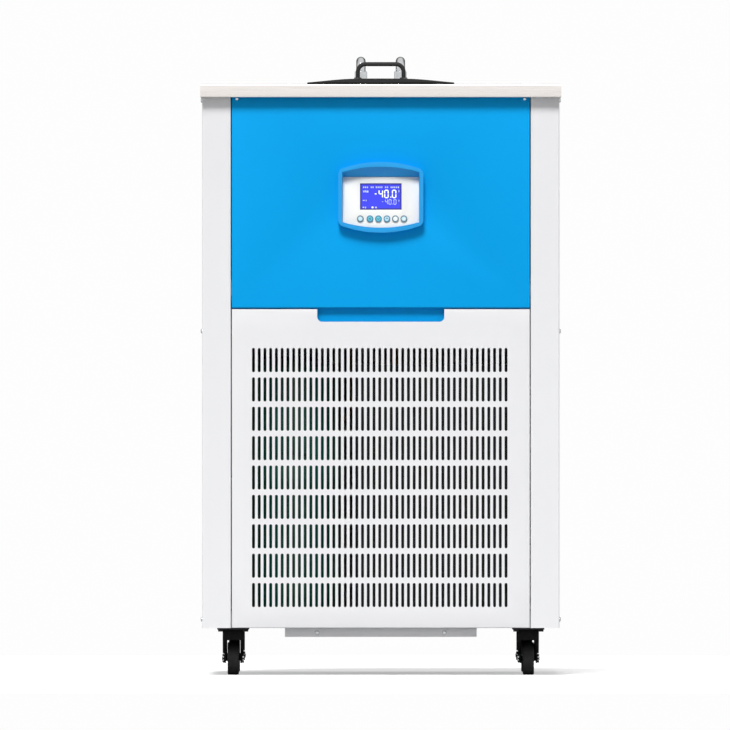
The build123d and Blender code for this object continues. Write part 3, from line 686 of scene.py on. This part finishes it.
def seven_segment(bm, reading, thickness, place):
    """Adds numerals in seven-segment bars, with their dots and minus signs.

    A reading is its text, then its left end, base, width, height and stroke in millimetres.
    """
    text, *measures = reading
    left, base, width, height, stroke = (measure * MM for measure in measures)
    lit = {"0": "abcdef", "4": "fgbc", "-": "g"}
    half, trim, dot_step, sign_step = stroke / 2, 0.12 * stroke, 2 * stroke, width + 2.1 * stroke
    for sign in text:
        if sign == ".":
            slab(bm, rectangle(left + half, base + half, stroke, stroke), thickness, place)
            left += dot_step
            continue
        right, top, middle = left + width, base + height, base + height / 2
        ends = {
            "a": ((left, top), (right, top)), "g": ((left, middle), (right, middle)),
            "d": ((left, base), (right, base)), "f": ((left, middle), (left, top)),
            "e": ((left, base), (left, middle)), "b": ((right, middle), (right, top)),
            "c": ((right, base), (right, middle)),
        }
        for bar in lit[sign]:
            start, end = (Vector(point) for point in ends[bar])
            ahead = (end - start).normalized()
            across = Vector((ahead.y, -ahead.x))
            start, end = start + ahead * trim, end - ahead * trim
            outline = [
                start, start + (ahead + across) * half, end - (ahead - across) * half,
                end, end - (ahead + across) * half, start + (ahead - across) * half,
            ]
            slab(bm, outline, thickness, place)
        left += sign_step


def control_display():
    """Display with its lit field, two readings of bare numbers and rows of small marks."""
    half_x, half_y, middle_y = 29.6 * MM, 18.3 * MM, 48.4 * MM
    middle_x = (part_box("display")[0][0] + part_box("display")[1][0]) / 2
    face, skin, edge = -0.6 * MM, 0.12 * MM, 0.1 * MM
    bm = bmesh.new()
    block(
        bm, (middle_x - half_x, middle_y - half_y, face - skin),
        (middle_x + half_x, middle_y + half_y, face + skin), edge, 1,
    )
    carry(bm, POD)
    settle(bm, "display_field", screen_glow)

    mark = 0.1 * MM
    ground = POD @ Matrix.Translation((0, 0, face + skin))
    bm = bmesh.new()
    seven_segment(bm, ("-", -9.6, 46.4, 3.6, 12, 1.5), mark, ground)
    seven_segment(bm, ("40.0", -2.6, 46.6, 5.2, 11.6, 1.6), mark, ground)
    spot_x, spot_y, spot_radius, sides = -12.6 * MM, 31.6 * MM, 1.5 * MM, 16
    angles = [t * math.tau / sides for t in range(sides)]
    spot = [(spot_x + spot_radius * math.cos(a), spot_y + spot_radius * math.sin(a)) for a in angles]
    slab(bm, spot, mark, ground)
    settle(bm, "display_reading", digit_light)

    bm = bmesh.new()
    seven_segment(bm, ("-", 1.6, 36.4, 2.4, 8, 0.9), mark, ground)
    seven_segment(bm, ("40.0", 6.9, 36.3, 3.4, 7.6, 1.0), mark, ground)
    # The top row's places, then the other marks' middles and sizes, in millimetres.
    row = (-26, -23.2, -20.4, -14.5, -11.8, -6.8, -4, -1.2, 1.6, 7.4, 10.2, 15.8, 18.5, 21.2, 24, 26.8)
    marks = [(x, 62.6, 1.7, 2.4) for x in row] + [
        (-26.4, 56.2, 1.2, 2.8), (-23.8, 56.4, 2.2, 3.2), (-20.4, 56.0, 3.0, 3.0),
        (-26.0, 42.4, 2.6, 1.6), (-22.4, 42.2, 1.2, 2.4), (27.6, 56.6, 1.0, 3.4),
        (27.6, 42.0, 1.0, 3.0), (-26.4, 31.6, 2.2, 2.0), (-23.2, 31.4, 1.8, 2.6),
        (-7.4, 31.6, 2.8, 2.2),
    ]
    for measures in in_mm(marks):
        slab(bm, rectangle(*measures), mark, ground)
    settle(bm, "display_marks", digit_dim)


KEY_PLACES = (-31.2, -16.5, -3.6, 9.3, 22.2, 35.1)
KEY_RISE = 13.85 * MM
KEY_RADIUS = 5.2 * MM
KEY_BASE = 0.8 * MM


def key_icon(bm, number, place):
    """Adds a key's printed sign: ring with a bar, arrows left, down and up, nothing, two strokes."""
    ink = 0.08 * MM
    unit = 0.1 * KEY_RADIUS
    shapes = {
        1: [rectangle(0, 2.1, 1.0, 5.0)],
        2: [[(-4.2, 0), (2.0, -3.9), (2.0, 3.9)]],
        3: [[(-4.2, 2.2), (-4.2, 0.4), (0, -3.8), (4.2, 0.4), (4.2, 2.2), (0, -1.4)]],
        4: [[(-4.2, -2.2), (0, 1.4), (4.2, -2.2), (4.2, -0.4), (0, 3.8), (-4.2, -0.4)]],
        6: [
            [(-3.8, -2.4), (-2.6, -3.6), (3.0, 2.0), (1.8, 3.2)],
            [(-1.2, -4.0), (0, -4.6), (4.2, 0.4), (3.4, 1.4)],
        ],
    }
    if number == 1:
        inner, outer = 2.5 * unit, 3.5 * unit
        band = [(inner, 0.0), (inner, ink), (outer, ink), (outer, 0.0), (inner, 0.0)]
        made = turned(bm, band, (0, 0, 0), segments=24)
        carry(bm, place, made)
    for outline in shapes.get(number, ()):
        slab(bm, [(x * unit, y * unit) for x, y in outline], ink, place)


def press_keys():
    """Six round keys: a rounded ring round a slightly domed face with its sign."""
    grey, blue = (key_ring_grey, key_icon_white), (key_ring_blue, key_icon_teal)
    trims = (grey, blue, blue, blue, grey, grey)
    faces = (key_face_pale, key_face_cyan, key_face_cyan, key_face_pale, key_face_white, key_face_pale)
    stem_half, stem_length = 2 * MM, 4.5 * MM
    ring_profile = [
        (3.55, 0.4), (3.55, 0.8), (3.75, 1.06), (4.35, 1.2), (4.9, 1.08), (5.2, 0.72), (5.2, 0.0),
        (0.0, 0.0),
    ]
    face_profile = [(3.55, 0.4), (3.5, 0.62), (3.1, 0.76), (2.1, 0.86), (0.0, 0.9)]
    icon_lift = 0.88 * MM
    for number, (x, (ring, ink), face) in enumerate(zip(KEY_PLACES, trims, faces), 1):
        body = f"key_cap_{number}"
        place = POD @ Matrix.Translation((x * MM, KEY_RISE, KEY_BASE))
        bm = bmesh.new()
        turned(bm, in_mm(ring_profile), (0, 0, 0), segments=32)
        block(bm, (-stem_half, -stem_half, -stem_length), (stem_half, stem_half, 0))
        carry(bm, place)
        settle(bm, f"key_ring_{number}", ring, (f"key_{number}",), body)
        bm = bmesh.new()
        turned(bm, in_mm(face_profile), (0, 0, 0), segments=32)
        carry(bm, place)
        settle(bm, f"key_face_{number}", face, body=body)
        bm = bmesh.new()
        key_icon(bm, number, place @ Matrix.Translation((0, 0, icon_lift)))
        if bm.verts:
            settle(bm, f"key_sign_{number}", ink, body=body)
        else:
            bm.free()


pod_shell()
softened_node("display_fascia", "pod_fascia", white_abs, 0.35 * MM)
control_display()
press_keys()


# Lid, handle and hose nozzles

LID_CENTRE = (0, -50 * MM, DECK_TOP)


def bath_lid():
    """Black moulded lid with a rolled rim and a flattened dome, over a flange ring."""
    profile = [
        (0, 1.2), (108.5, 1.2), (109.5, 0.1), (111.0, 0.1), (111.6, 1.6), (112.3, 2.0), (112.5, 2.6),
        (112.5, 4.1), (112.1, 4.7), (110.5, 5.0), (104, 5.5), (92, 6.7), (80, 7.9), (68, 9.0),
        (58, 9.8), (48, 10.3), (36, 10.6), (20, 10.75), (0, 10.8),
    ]
    bm = bmesh.new()
    turned(bm, in_mm(profile), LID_CENTRE, segments=96)
    settle(bm, "bath_lid", black_pom, ("lid",), smooth=40)
    ring = [
        (113.4, 0.0), (113.4, 0.7), (113.8, 1.0), (121.4, 1.0), (122, 0.7), (122, 0.0),
        (113.4, 0.0),
    ]
    bm = bmesh.new()
    turned(bm, in_mm(ring), LID_CENTRE, segments=96)
    settle(bm, "mouth_ring", satin_steel)


def bow_handle():
    """Nylon bow handle, round in section, with a washer foot under each leg."""
    low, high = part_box("lid_handle")
    soft, leg_inset, near = 2.6 * MM, 3.2 * MM, 0.5 * MM
    foot_radius, foot_top_radius, foot_height = 6.2 * MM, 5.2 * MM, 1.6 * MM
    bm = merged_copy("lid_handle")
    soften(bm, sharp_edges(bm, 50, lambda p: p.z > low[2] + near), soft, 4)
    for side in (-1, 1):
        foot = Vector((side * (high[0] - leg_inset), LID_CENTRE[1], low[2]))
        rod(bm, foot, foot + Vector((0, 0, foot_height)), foot_radius, 24, foot_top_radius)
    settle(bm, "bow_handle", grip_nylon, ("lid_handle",), smooth=45)


def hose_nozzle(name, node, side, foot):
    """Bright drawn tube, bent back to the hose end, through a hexagon collar on the deck."""
    x, y = side * 30.3 * MM, 130 * MM
    radius, bore, bore_depth, bend = 7.2 * MM, 6 * MM, 25 * MM, 14.5 * MM
    level, end = 938.8 * MM, 176 * MM
    washer, washer_radius, washer_top_radius = 1.2 * MM, 12 * MM, 11.6 * MM
    flats, rise_over_lid = 19 * MM, 12.5 * MM
    nut_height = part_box("lid")[1][2] - DECK_TOP + rise_over_lid - washer
    bm = bmesh.new()
    run = ((x, y, foot), (x, y, level), (x, end, level))
    tube(bm, run, radius, bend, 32, 12, bore, bore_depth)
    nut(bm, (x, y, DECK_TOP + washer), (0, 0, 1), flats, nut_height)
    rod(bm, (x, y, DECK_TOP), (x, y, DECK_TOP + washer), washer_radius, 40, washer_top_radius)
    settle(bm, name, bright_steel, (node,), smooth=40)


bath_lid()
bow_handle()
hose_nozzle("return_nozzle_tube", "return_pipe", -1, 738.5 * MM)
hose_nozzle("delivery_nozzle_tube", "delivery_pipe", 1, 192 * MM)


# Casters

CASTER_X = 225 * MM
CASTER_Y = 235 * MM
WHEEL_TRAIL = 22 * MM
WHEEL_RADIUS = 25 * MM


def caster(number, x, y):
    """Swivel caster: forked nylon yoke, rubber-tyred wheel with a webbed hub, bright axle nuts."""
    fork, wheel = f"fork_{number}", f"wheel_{number}"
    hub = Vector((x, y + WHEEL_TRAIL, WHEEL_RADIUS))
    nut_out, flats, nut_height = 13.9 * MM, 11.9 * MM, 2.6 * MM
    tip_in, tip_out, tip_radius = 16.4 * MM, 17.4 * MM, 3 * MM
    softened_node(
        f"caster_fork_{number}", f"caster_yoke_{number}", fork_nylon, 0.7 * MM, fork,
    )
    bm = bmesh.new()
    for side in (Vector((-1, 0, 0)), Vector((1, 0, 0))):
        nut(bm, hub + side * nut_out, side, flats, nut_height)
        rod(bm, hub + side * tip_in, hub + side * tip_out, tip_radius, 16)
    settle(bm, f"axle_nuts_{number}", screw_steel, body=fork)
    tread = [
        (18.5, -8.2), (23.0, -8.6), (24.2, -8.2), (24.8, -7.2), (25.0, -5.6), (25.0, 5.6), (24.8, 7.2),
        (24.2, 8.2), (23.0, 8.6), (18.5, 8.2), (18.5, -8.2),
    ]
    bm = bmesh.new()
    turned(bm, in_mm(tread), hub, (1, 0, 0), 64)
    tyre_node = f"caster_wheel_{number}"
    settle(bm, f"wheel_tyre_{number}", tread_rubber, (tyre_node,), wheel)
    core = [
        (4.1, -8.4), (7.0, -8.4), (7.6, -7.8), (7.8, -5.0), (16.4, -5.0), (17.0, -7.6), (18.5, -8.0),
        (18.5, 8.0), (17.0, 7.6), (16.4, 5.0), (7.8, 5.0), (7.6, 7.8), (7.0, 8.4), (4.1, 8.4),
        (4.1, -8.4),
    ]
    spokes, spoke_low, spoke_high = 6, (-7.4 * MM, -1.1 * MM, 7.4 * MM), (7.4 * MM, 1.1 * MM, 17.2 * MM)
    bm = bmesh.new()
    turned(bm, in_mm(core), hub, (1, 0, 0), 48)
    for spoke in range(spokes):
        turn = Matrix.Rotation(spoke * math.tau / spokes, 4, "X")
        made = block(bm, spoke_low, spoke_high)
        carry(bm, Matrix.Translation(hub) @ turn, made)
    settle(bm, f"wheel_hub_{number}", fork_nylon, body=wheel)


def caster_hardware():
    """Top plates with rounded corners and their bolts."""
    softened_node("caster_plates", "caster_tops", black_coat, 0.6 * MM)
    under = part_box("caster_plates")[0][2]
    bolt_spread, bolt_flats, bolt_height = 19 * MM, 8 * MM, 3 * MM
    bm = bmesh.new()
    for x, y, i, j in product((-CASTER_X, CASTER_X), (-CASTER_Y, CASTER_Y), (-1, 1), (-1, 1)):
        place = (x + i * bolt_spread, y + j * bolt_spread, under)
        nut(bm, place, (0, 0, -1), bolt_flats, bolt_height)
    settle(bm, "caster_bolts", black_coat)


FORKS = ("caster_fork_1", "caster_fork_2", "caster_fork_3", "caster_fork_4")
for number, caster_name in enumerate(FORKS, 1):
    fork_low, fork_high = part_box(caster_name)
    caster(
        number, math.copysign(CASTER_X, fork_low[0] + fork_high[0]),
        math.copysign(CASTER_Y, fork_low[1] + fork_high[1]),
    )
caster_hardware()


# Machinery

def compressor_shell():
    """Hermetic compressor: two pressed domes welded at the belt, feet, terminal box and stubs."""
    foot = Vector((-140, -140, 85.5)) * MM
    plate, plate_soft = in_mm([(-88, -88, 0), (88, 88, 4)]), 1.2 * MM
    terminals, terminals_soft = in_mm([(-28, -86, 250), (28, -60, 330)]), 3 * MM
    stub_in, stub_out, stub_radius, stub_level = 70 * MM, 84.8 * MM, 9 * MM, 300 * MM
    stub_bearings = (0.25, 2.2)
    profile = [
        (0, 4), (60, 4), (74, 10), (81.5, 22), (84, 40), (84, 205), (85, 207), (85, 217), (84, 219),
        (84, 352), (81.5, 370), (74, 385), (60, 394), (38, 399), (0, 400),
    ]
    bm = bmesh.new()
    turned(bm, in_mm(profile), foot, segments=72)
    for (low, high), soft, segments in ((plate, plate_soft, 2), (terminals, terminals_soft, 3)):
        block(bm, foot + Vector(low), foot + Vector(high), soft, segments)
    spot = foot + Vector((0, 0, stub_level))
    for bearing in stub_bearings:
        out = Vector((math.cos(bearing), math.sin(bearing), 0))
        rod(bm, spot + out * stub_in, spot + out * stub_out, stub_radius, 20)
    settle(bm, "compressor_shell", green_coat, ("compressor",))


def rubber_feet():
    """Moulded grommets under the compressor's four corners."""
    low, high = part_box("compressor_pads")
    radius = 12 * MM
    profile = [
        (0, 0), (11, 0), (12, 1), (12, 3.6), (8.6, 5.2), (8.6, 7.2), (11.4, 8.8), (11.4, 12), (0, 12),
    ]
    bm = bmesh.new()
    for x, y in product((low[0] + radius, high[0] - radius), (low[1] + radius, high[1] - radius)):
        turned(bm, in_mm(profile), (x, y, low[2]), segments=28)
    settle(bm, "compressor_grommets", tread_rubber, ("compressor_pads",))


def condenser_core():
    """Fin-and-tube core: upright fins, two rows of tubes through them and their end bends."""
    low, high = (Vector(corner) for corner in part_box("condenser"))
    sheet, sheet_soft, core, lip = 2 * MM, 0.3 * MM, 8 * MM, 5 * MM
    pitch, fin = 3.2 * MM, 0.35 * MM
    bm = bmesh.new()
    for x in (low.x, high.x - sheet):
        block(bm, (x, low.y, low.z), (x + sheet, high.y, high.z), sheet_soft, 1)
    block(bm, (low.x + sheet, low.y + core, low.z), (high.x - sheet, high.y - core, high.z))
    count = int((high.x - low.x - 2 * sheet) / pitch)
    for index in range(1, count + 1):
        x = low.x + sheet + index * pitch
        block(bm, (x, low.y + lip, low.z), (x + fin, high.y - lip, high.z))
    settle(bm, "condenser_fin_pack", core_fins, ("condenser",))
    rows, tube_radius, tube_inset, stand_out = 14, 4.8 * MM, 17 * MM, 1 * MM
    bend_reach, bend = 12 * MM, 11 * MM
    tube_rows = (low.y + tube_inset, high.y - tube_inset)
    step = (high.z - low.z) / rows
    bm = bmesh.new()
    for row, y in product(range(rows), tube_rows):
        z = low.z + (row + 0.5) * step
        rod(bm, (low.x - stand_out, y, z), (high.x + stand_out, y, z), tube_radius, 12)
    for row, y in product(range(0, rows - 1, 2), tube_rows):
        z = low.z + (row + 0.5) * step
        out = high.x + bend_reach
        ends = ((high.x, y, z), (out, y, z), (out, y, z + step), (high.x, y, z + step))
        tube(bm, ends, tube_radius, bend, 10, 4)
    settle(bm, "condenser_tubes", core_fins)


def refrigerant_lines():
    """Copper lines between compressor, condenser and evaporator, and the lagged riser.

    Each line is its corners in millimetres, then its radius and the radius of its bends.
    """
    discharge = [
        (-62, -122, 385.5), (-50, -118, 385.5), (-50, -118, 520), (20, -190, 520), (20, -234, 520),
        (20, -234, 470),
    ], 5 * MM, 14 * MM
    suction = [
        (-190, -76, 385.5), (-200, -60, 385.5), (-200, -60, 540), (-120, -40, 540), (-120, -40, 574),
    ], 7 * MM, 16 * MM
    riser = [(129, -234, 468), (129, -234, 486), (129, -268, 500), (129, -268, 574)], 5.5 * MM, 8 * MM
    for name, material, slot, lines in (
        ("refrigerant_lines", copper_line, "copper", (discharge, suction)),
        ("lagged_riser", line_lagging, "pad_rubber", (riser,)),
    ):
        bm = bmesh.new()
        for corners, radius, bend in lines:
            tube(bm, in_mm(corners), radius, bend, 14, 6)
        settle(bm, name, material)


def pump_set():
    """Circulation pump with a round volute and a ribbed motor."""
    low, high = (Vector(corner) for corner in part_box("circulation_pump"))
    x, z = (low.x + high.x) / 2, (low.z + high.z) / 2
    middle_y, spout_radius = (low.y + high.y) / 2, 11 * MM
    bolts, bolt_circle, bolt_inset, bolt_flats, bolt_height = 6, 36 * MM, 5 * MM, 7 * MM, 4.8 * MM
    volute = [(0, 0), (30, 0), (39, 3), (41.5, 9), (41.5, 25), (39, 31), (32, 34), (0, 34)]
    bm = bmesh.new()
    turned(bm, in_mm(volute), (x, low.y, z), (0, 1, 0), 56)
    rod(bm, (x, middle_y, z), (x, middle_y, high.z), spout_radius, 28)
    for bolt in range(bolts):
        angle = (bolt + 0.5) * math.tau / bolts
        out = Vector((math.cos(angle), 0, math.sin(angle))) * bolt_circle
        place = Vector((x, high.y - bolt_inset, z)) + out
        nut(bm, place, (0, 1, 0), bolt_flats, bolt_height)
    settle(bm, "pump_volute", satin_steel, ("circulation_pump",))

    low, high = (Vector(corner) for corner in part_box("pump_motor"))
    radius, foot = 35 * MM, low.z + 4 * MM
    ribs, rib_half, rib_root, rib_crest = 28, 0.9 * MM, 34 * MM, 39 * MM
    rib_front, rib_back = low.y + 6 * MM, high.y - 12 * MM
    foot_half, foot_inset, foot_soft = 30 * MM, 13 * MM, 1 * MM
    leg_x, leg_half, leg_inset, leg_drop = 24 * MM, 3 * MM, 18 * MM, 20 * MM
    bm = bmesh.new()
    rod(bm, (x, low.y, z), (x, high.y, z), radius, 56)
    for rib in range(ribs):
        turn = Matrix.Translation((x, 0, z)) @ Matrix.Rotation(rib * math.tau / ribs, 4, "Y")
        made = block(bm, (-rib_half, rib_front, rib_root), (rib_half, rib_back, rib_crest))
        carry(bm, turn, made)
    block(
        bm, (x - foot_half, low.y + foot_inset, low.z), (x + foot_half, high.y - foot_inset, foot),
        foot_soft,
    )
    for leg in (x - leg_x, x + leg_x):
        block(
            bm, (leg - leg_half, low.y + leg_inset, foot),
            (leg + leg_half, high.y - leg_inset, z - leg_drop),
        )
    settle(bm, "pump_motor_ribbed", motor_coat, ("pump_motor",))


compressor_shell()
rubber_feet()
condenser_core()
refrigerant_lines()
pump_set()
softened_node("condenser_fan", "pressed_fan", fan_plastic, 0.5 * MM, "fan_rotor", 1)
softened_node("fan_motor", "fan_stator", motor_coat, 1.2 * MM)
softened_node("control_box", "wiring_box", zinc_sheet, 1.5 * MM)


def rear_fittings():
    """Domed cable gland and drain plug on the rear panel."""
    gland, drain = (-180 * MM, BACK_Y, 112 * MM), (190 * MM, BACK_Y, 112 * MM)
    gland_flats, gland_height = 24 * MM, 5 * MM
    washer_height, drain_flats, drain_height = 1.6 * MM, 21 * MM, 11.4 * MM
    dome = [
        (11.4, 5), (11.4, 8), (10.4, 10.4), (8.4, 12), (5.2, 12), (5.2, 6), (0, 6), (0, 5), (11.4, 5),
    ]
    bm = bmesh.new()
    nut(bm, gland, (0, 1, 0), gland_flats, gland_height)
    turned(bm, in_mm(dome), gland, (0, 1, 0), 40)
    settle(bm, "gland_dome", gland_plastic, ("cable_gland",))
    washer = [(0, 0), (14, 0), (14, 1.2), (13.4, 1.6), (0, 1.6)]
    bm = bmesh.new()
    turned(bm, in_mm(washer), drain, (0, 1, 0), 40)
    nut(bm, (drain[0], BACK_Y + washer_height, drain[2]), (0, 1, 0), drain_flats, drain_height)
    settle(bm, "drain_plug_hex", brass_plate, ("drain_plug",))


rear_fittings()


# Camera, floor and light

PHOTO_SIZE = 730
METRES_PER_PIXEL = 1.5226 * MM
CENTRE_X_PIXEL = 380.8
FLOOR_PIXEL = 675.3
KEY_LEVEL = 3.0
FILL_LEVEL = 0.35
WHITE_LEVEL = 0.985
REAR_LEVEL = 0.12


def camera():
    """Long lens, level, square on to the front."""
    data = bpy.data.cameras.new("camera")
    data.lens = 1600
    data.sensor_width = 36
    frame_width = PHOTO_SIZE * METRES_PER_PIXEL
    distance = data.lens / data.sensor_width * frame_width
    data.clip_end = 1.5 * distance
    viewer = in_scene("camera", data)
    viewer.location = (
        (PHOTO_SIZE / 2 - CENTRE_X_PIXEL) * METRES_PER_PIXEL,
        FRONT_Y - distance,
        (FLOOR_PIXEL - PHOTO_SIZE / 2) * METRES_PER_PIXEL,
    )
    viewer.rotation_euler = (math.pi / 2, 0, 0)
    bpy.context.scene.camera = viewer


def floor():
    """Round sheet of studio paper."""
    paper_radius = 3.0
    bm = bmesh.new()
    bmesh.ops.create_circle(bm, cap_ends=True, segments=96, radius=paper_radius)
    mesh = bpy.data.meshes.new("floor")
    bm.to_mesh(mesh)
    bm.free()
    mesh.materials.append(floor_white)
    sheet = in_scene("floor", mesh)


def key_light():
    """Large distant softbox, high in front and a little to the left."""
    elevation, bearing, spread = math.radians(53), math.radians(10), math.radians(19)
    lamp = bpy.data.lights.new("key", "SUN")
    lamp.angle = spread
    lamp.energy = KEY_LEVEL
    in_scene("key", lamp).rotation_euler = (math.pi / 2 - elevation, 0, -bearing)


def world_math(tree, kind, *values):
    """A maths node of the world fed by outputs or plain numbers."""
    node = add(tree, "ShaderNodeMath", operation=kind, use_clamp=True)
    for socket, value in zip(node.inputs, values):
        if isinstance(value, (int, float)):
            socket.default_value = value
        else:
            tree.links.new(value, socket)
    return node.outputs["Value"]


def studio_air():
    """White surroundings. The camera sees them white, surfaces get a softer fill, and reflections
    darken towards the back of the room so that bright metal shows its shape."""
    world = bpy.data.worlds.new("studio")
    bpy.context.scene.world = world
    world.use_nodes = True
    tree = world.node_tree
    ray = add(tree, "ShaderNodeLightPath").outputs
    room = add(tree, "ShaderNodeTexCoord").outputs["Generated"]
    axis = add(tree, "ShaderNodeSeparateXYZ", [(room, "Vector")]).outputs
    rear = add(
        tree, "ShaderNodeMapRange", [(axis["Y"], "Value")], From_Min=0.1, From_Max=0.7,
        To_Min=WHITE_LEVEL, To_Max=REAR_LEVEL,
    )
    roof = add(tree, "ShaderNodeMapRange", [(axis["Z"], "Value")], From_Min=0.35, From_Max=0.8)
    mirrored = world_math(tree, "MAXIMUM", rear.outputs["Result"], roof.outputs["Result"])
    glossy = world_math(tree, "MULTIPLY", mirrored, ray["Is Glossy Ray"])
    seen = world_math(tree, "MAXIMUM", ray["Is Camera Ray"], ray["Is Transmission Ray"])
    white = world_math(tree, "MULTIPLY", seen, WHITE_LEVEL)
    plain = world_math(tree, "SUBTRACT", 1, world_math(tree, "MAXIMUM", seen, ray["Is Glossy Ray"]))
    fill = world_math(tree, "MULTIPLY", plain, FILL_LEVEL)
    total = world_math(tree, "ADD", world_math(tree, "ADD", glossy, white), fill)
    back = tree.nodes["Background"]
    back.inputs["Color"].default_value = (1, 1, 1, 1)
    tree.links.new(total, back.inputs["Strength"])


camera()
floor()
key_light()
studio_air()
bpy.context.scene.view_settings.view_transform = "Standard"
